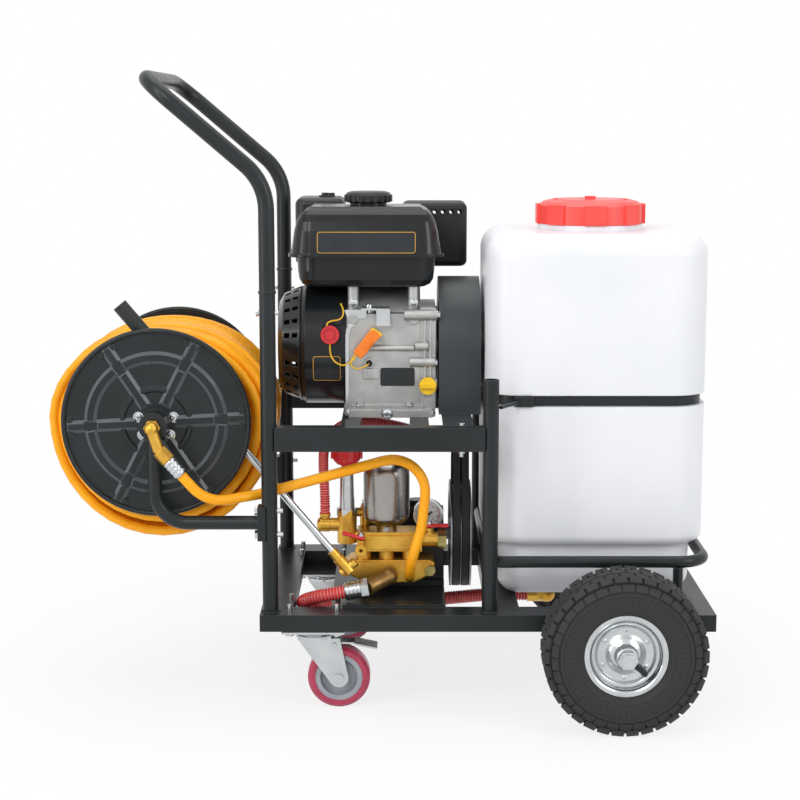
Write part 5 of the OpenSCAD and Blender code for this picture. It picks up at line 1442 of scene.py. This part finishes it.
@dataclass
class Engine:
    """Small fittings on the engine: bare plates, stop switch leads, connector and bolts."""

    crank: tuple[float, float] = (15.0, 564.3)
    shroud_r: float = 100.0
    lead_d: float = 2.6
    case_front: float = -86.0
    tank_front: float = -94.0
    head_foot: tuple[float, float, float] = (0.0, 78.0, 572.3)
    head_lean: float = 25.0
    tank_slope: float = 0.15
    tank_foot: float = 18.2
    tank_gap: float = 0.6
    lead_steps: int = 6
    fuel_plate: tuple[float, float] = (158.0, 34.0)
    fuel_plate_at: tuple[float, float] = (-22.0, 739.5)
    shroud_plate: tuple[float, float] = (45.0, 44.0)
    shroud_plate_at: tuple[float, float] = (-87.0, 533.0)
    case_plate: tuple[float, float] = (56.0, 30.0)
    case_plate_at: tuple[float, float] = (28.0, 521.5)

    HEAD_BOLTS = (((-30, 38), 124, 28), ((-44, 52), 108, 40))
    NEAR, UP, LEFT, RIGHT = (0, -1, 0), (0, 0, 1), (-1, 0, 0), (1, 0, 0)
    CASE_BOLTS = (((-33, -92, 476.3), UP), ((47, -92, 476.3), UP), ((-44, -63, 640), NEAR),
                  ((54, -63, 640), NEAR), ((-52, -92, 463), LEFT), ((84, -92, 463), RIGHT),
                  ((92, -88, 623), RIGHT), ((88, -88, 546), RIGHT))
    DRAIN_BOLT = (((11, -98, 463), NEAR),)

    UPPER_LEAD = ((-64, -78, 640), (-60.5, -83, 633), (-59.5, -87.5, 625), (-62.5, -89, 618),
                  (-69, -89, 614.5), (-77, -89.5, 613.5), (-84, -91, 610.5), (-86, -92, 605.5),
                  (-83.5, -92, 600.5))
    LOWER_LEAD = ((-81, -92, 578), (-81.3, -92, 570), (-80, -92.5, 559.5), (-76, -94, 551),
                  (-70, -96, 545.5), (-60, -99, 542.3), (-50, -101, 546), (-43, -101, 552),
                  (-38, -100.5, 557.5), (-35, -100, 561))
    SENSOR_LEAD = ((-39, -100, 562), (-44, -100, 555), (-47.5, -99, 547.5), (-46.5, -98, 541.5),
                   (-42, -97, 537.8), (-36, -96.5, 536.6), (-29, -96, 538), (-23, -95.5, 541),
                   (-18, -94, 544))
    CONNECTOR = ((-43.5, 564), (-31, 553), (-22, 562), (-11, 577), (1.5, 590), (-3, 596), (-12, 601),
                 (-18, 597), (-31, 580))
    LATCH = ((-26, 574), (-21, 569), (-12, 581), (-17, 586))
    PLUG_LIP = ((-17, 599), (1, 588.5), (4.5, 593), (-12, 604))
    STRIP = ((-56.5, 470), (-51, 470), (-50.5, 545), (-50, 590), (-47, 601), (-40, 606), (-41, 610),
             (-50, 607), (-55, 600), (-56.5, 588))
    WING = ((-58, 631), (-22, 631), (-22, 617), (-38, 616), (-47, 611.5), (-52, 614))
    GROMMET = ((0, 0), (5.2, 0), (5.4, 1), (4.4, 2.2), (2.6, 4.0), (0, 4.2))
    GROMMET_AT = (-18, -91, 544.3)

    def build(self, heads: Pattern) -> None:
        """Make the engine's small fittings.

        Args:
            heads: The bolt pattern.
        """
        for name, size, surface, edge in (("fuel_tank_plate", self.fuel_plate, self.on_tank, INK_OCHRE),
                                          ("shroud_plate", self.shroud_plate, self.on_shroud, INK_OCHRE),
                                          ("crankcase_plate", self.case_plate, self.on_case, PLATE_FILM)):
            ride(bare_plate(name, *size, surface, edge), CART)
        self.connector()
        self.sheet_metal()
        self.bolt_heads(heads)
        for name, route in (("stop_lead_upper", self.UPPER_LEAD), ("stop_lead_lower", self.LOWER_LEAD),
                            ("sensor_lead", self.SENSOR_LEAD)):
            path = smooth_path(metres(route), self.lead_steps)
            lead = curve_piece(name, path, self.lead_d * MM / 2, LEAD_YELLOW, 2)
            ride(lead, CART)

    def connector(self) -> None:
        """Make the plug housing of the leads: a body with a stepped end, a latch and a cover lip."""
        body = prism("plug_body", self.CONNECTOR, (-105.0, -93.2), ORANGE_NYLON, 1.4)
        latch = prism("plug_latch", self.LATCH, (-107.4, -104), ORANGE_NYLON, 0.8)
        lip = prism("plug_lip", self.PLUG_LIP, (-103.0, -95.0), YELLOW_NYLON, 1.0)
        ride(join("lead_connector", [body, latch, lip]), CART)

    def sheet_metal(self) -> None:
        """Make the plated edge strip beside the fan shroud and the wing of the throttle bracket."""
        front = self.case_front
        strip = prism("edge_strip", self.STRIP, (front - 1.6, front + 0.2), ZINC, 0.4)
        wing = prism("bracket_wing", self.WING, (front - 1.8, front + 0.2), ZINC, 0.4)
        ride(join("plated_sheet", [strip, wing]), CART)

    def bolt_heads(self, heads: Pattern) -> None:
        """Set the engine's bolts: case foot, drain, posts, rocker cover and head, and the sensor's grommet.

        Args:
            heads: The bolt pattern.
        """
        feet = bolts(heads, "case_bolts", self.CASE_BOLTS, ZINC, head=6.2, rise=4.6, washer=7.6)
        drain = bolts(heads, "drain_bolt", self.DRAIN_BOLT, ZINC, head=8.6, rise=5.0, washer=10.0)
        tilt = Matrix.Translation(self.head_foot) @ Matrix.Rotation(math.radians(self.head_lean), 4, "X")
        outward = tilt.to_3x3() @ Vector((0, 1, 0))
        places = [(tilt @ Vector((x, y, z)), outward) for row, y, rise in self.HEAD_BOLTS for x in row
                  for z in (-rise, rise)]
        head = bolts(heads, "head_bolts", places, ZINC, head=5.6, rise=4.4, washer=7.2)
        ride(join("engine_bolts", [feet, drain, head]), CART)
        at = shift(self.GROMMET_AT) @ Axis.NEAR.value
        grommet = lathe("sensor_grommet", self.GROMMET, at, BLACK_ABS, 24)
        ride(grommet, CART)

    def on_tank(self, u: float, v: float, out: float) -> Vector:
        """Place a point on the fuel tank's sloping front."""
        x, z = self.fuel_plate_at
        y = self.tank_front + self.tank_gap + self.tank_slope * (self.tank_foot + v) - out
        return Vector((x + u, y, z + v)) * MM

    def on_shroud(self, u: float, v: float, out: float) -> Vector:
        """Place a point on the fan shroud's round front."""
        x, z = self.shroud_plate_at
        axis_y, axis_z = self.crank
        turn = (z - axis_z + v) / self.shroud_r
        reach = self.shroud_r + out
        return Vector((x + u, axis_y - reach * math.cos(turn), axis_z + reach * math.sin(turn))) * MM

    def on_case(self, u: float, v: float, out: float) -> Vector:
        """Place a point on the crankcase's flat front."""
        x, z = self.case_plate_at
        return Vector((x + u, self.case_front - out, z + v)) * MM


@dataclass
class Pump:
    """The pump's spun air chamber and the dipped grips of its valve levers."""

    chamber: tuple[float, float, float] = (10.0, -92.0, 268.8)
    flat: float = 0.55
    overhang: float = 6.0
    nut_rise: float = 3.0

    CHAMBER = ((0, 0.1), (16.5, 0.1), (16.5, 7), (17.6, 9.6), (22, 11.6), (29.5, 14.2), (34.6, 18.6),
               (37.2, 24.4), (37.8, 31), (37.8, 92), (37.2, 98.6), (34.8, 106), (30.4, 112), (24, 116),
               (15, 118.4), (9, 118.8), (9, 121.6), (6, 122.8), (0, 122.8))
    GRIP = ((0, 0), (4.6, 0.5), (6.3, 3), (6.3, 9), (5.2, 13), (5.2, 25), (6.3, 31), (6.3, 35), (4.8, 37.8),
            (0, 38.4))
    NUT = ((0, 0), (5.4, 0), (5.4, 3.4), (4.6, 4), (2.4, 4), (2.4, 6), (0, 6.2))
    LEVERS = (("left", (-31, -132, 264.7), (-1, 0, 0.27)), ("right", (80, -92, 275.6), (1, 0, 0.0)),
              ("rear", (-26, -53, 303.6), (0.92, 0.33, 0.36)))

    def build(self) -> None:
        """Spin the air chamber and set a grip with its nut on each valve."""
        vessel = lathe("air_chamber_visual", self.CHAMBER, shift(self.chamber), STAINLESS, 72)
        ride(vessel, CART)
        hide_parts("air_chamber")
        for hand, pivot, way in self.LEVERS:
            foot = shift(pivot)
            flattened = Matrix.Diagonal((1, self.flat, 1, 1))
            lying = foot @ aim(Vector(way)) @ flattened @ shift((0, 0, -self.overhang))
            grip = lathe("grip_" + hand, self.GRIP, lying, RED_VINYL, 24)
            nut = lathe("nut_" + hand, self.NUT, foot @ shift((0, 0, self.nut_rise)), ZINC, 6)
            lever = join(f"valve_lever_{hand}_visual", [grip, nut])
            ride(lever, "lever_" + hand)
            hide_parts("valve_lever_" + hand)


@dataclass
class Gauge:
    """The pressure gauge's dial, scale and glass."""

    x: float = 79.0
    y: float = -58.0
    z: float = 285.8
    radius: float = 21.5
    dial_back: float = 3.7
    dial_hole: float = 2.3
    dial_t: float = 0.25
    glass_back: float = 0.6
    glass_t: float = 0.5
    glass_over: float = 0.3
    start: float = math.radians(225)
    sweep: float = math.radians(270)
    ink_side: float = 0.28
    ink_t: float = 0.12
    tick_inset: float = 4.5
    number_inset: float = 10.5
    number_side: float = 0.33
    number_size: float = 4.6
    numbers: int = 5

    TICKS = ((9, 4.2, 0.9), (41, 2.2, 0.45))

    def build(self, ticks: Pattern) -> None:
        """Make the dial with its ticks, numbers and red band, and the glass.

        Args:
            ticks: The ring pattern.
        """
        at = shift((self.x, self.y + self.dial_back, self.z)) @ Axis.NEAR.value
        hole, rim, back = self.dial_hole, self.radius, self.dial_t
        disc = ((hole, 0), (rim, 0), (rim, back), (hole, back))
        marks = [lathe("gauge_dial", disc, at, DIAL_WHITE, 48, ring=True)]
        for count, length, width in self.TICKS:
            middle = self.radius - self.tick_inset - length / 2
            marks.append(ticks.run(f"ticks_{count}", BLACK_INK_AND_SHADE, at, count=count, radius=middle * MM,
                                   side=self.ink_side * MM, start=self.start,
                                   sweep=-self.sweep * count / (count - 1),
                                   size=(length * MM, width * MM, self.ink_t * MM)))
        marks.append(ticks.run("red_band", INK_RED, at, count=30, radius=(self.radius - 3.2) * MM,
                               side=self.ink_side * MM, start=math.radians(45), sweep=-math.radians(90),
                               size=(1.6 * MM, 1.2 * MM, self.ink_t * MM)))
        for k in range(self.numbers):
            angle = self.start - self.sweep * k / (self.numbers - 1)
            marks.append(self.number(str(k * 2), angle, at))
        ride(join("gauge_scale", marks), CART)
        pane = shift((self.x, self.y + self.glass_back, self.z)) @ Axis.NEAR.value
        edge = self.radius + self.glass_over
        sheet = ((0, 0), (edge, 0), (edge, self.glass_t), (0, self.glass_t))
        ride(lathe("gauge_glass", sheet, pane, ClearGlass(), 48), CART)

    def number(self, text: str, angle: float, at: Matrix) -> bpy.types.Object:
        """Make one plain number of the scale as a mesh.

        Args:
            text: The number.
            angle: Where it stands round the dial.
            at: The dial's place.
        Returns:
            The mesh object.
        """
        data = bpy.data.curves.new("number", "FONT")
        data.body = text
        data.size = self.number_size * MM
        data.extrude = self.ink_t / 2 * MM
        data.align_x = "CENTER"
        data.align_y = "CENTER"
        maker = link("number_maker", data)
        bpy.context.view_layer.update()
        ready = maker.evaluated_get(bpy.context.evaluated_depsgraph_get())
        mesh = bpy.data.meshes.new_from_object(ready)
        bpy.data.objects.remove(maker)
        reach = self.radius - self.number_inset
        place = (reach * math.cos(angle), reach * math.sin(angle), self.number_side)
        mesh.transform(at @ shift(place))
        return link("number_" + text, mesh, BLACK_INK_AND_SHADE)


@dataclass
class Frame:
    """Weld beads where the posts stand on the rails."""

    post_y: float = 209.0
    rail_top: float = 164.3
    post_x: tuple[float, float] = (-173.0, 174.0)
    bead_r: float = 13.4
    drop: float = 2.3
    drops: int = 38

    def build(self, beads: Pattern) -> None:
        """Run a bead round each post's foot.

        Args:
            beads: The weld pattern.
        """
        welds = []
        for number, (x, y) in enumerate((x, y) for x in self.post_x for y in (-self.post_y, self.post_y)):
            at = shift((x, y, self.rail_top))
            welds.append(beads.run(f"weld_{number}", POWDER_COAT, at, count=self.drops,
                                   radius=self.bead_r * MM, drop=self.drop * MM, seed=number + 1))
        ride(join("post_welds", welds), CART)


def main() -> None:
    """Build the stage, the hoses and every small fitting, in order."""
    logging.basicConfig(level=logging.INFO, format="%(message)s")
    Stage().build()
    Hoses().build()
    rings = ring_pattern()
    HoseReel().build(rings)
    dress_nodes()
    heads = bolt_pattern()
    RoadWheel(-1, "near").build(rings)
    RoadWheel(1, "far").build(rings)
    Engine().build(heads)
    Pump().build()
    Gauge().build(rings)
    Frame().build(weld_pattern())


if __name__ == "__main__":
    main()
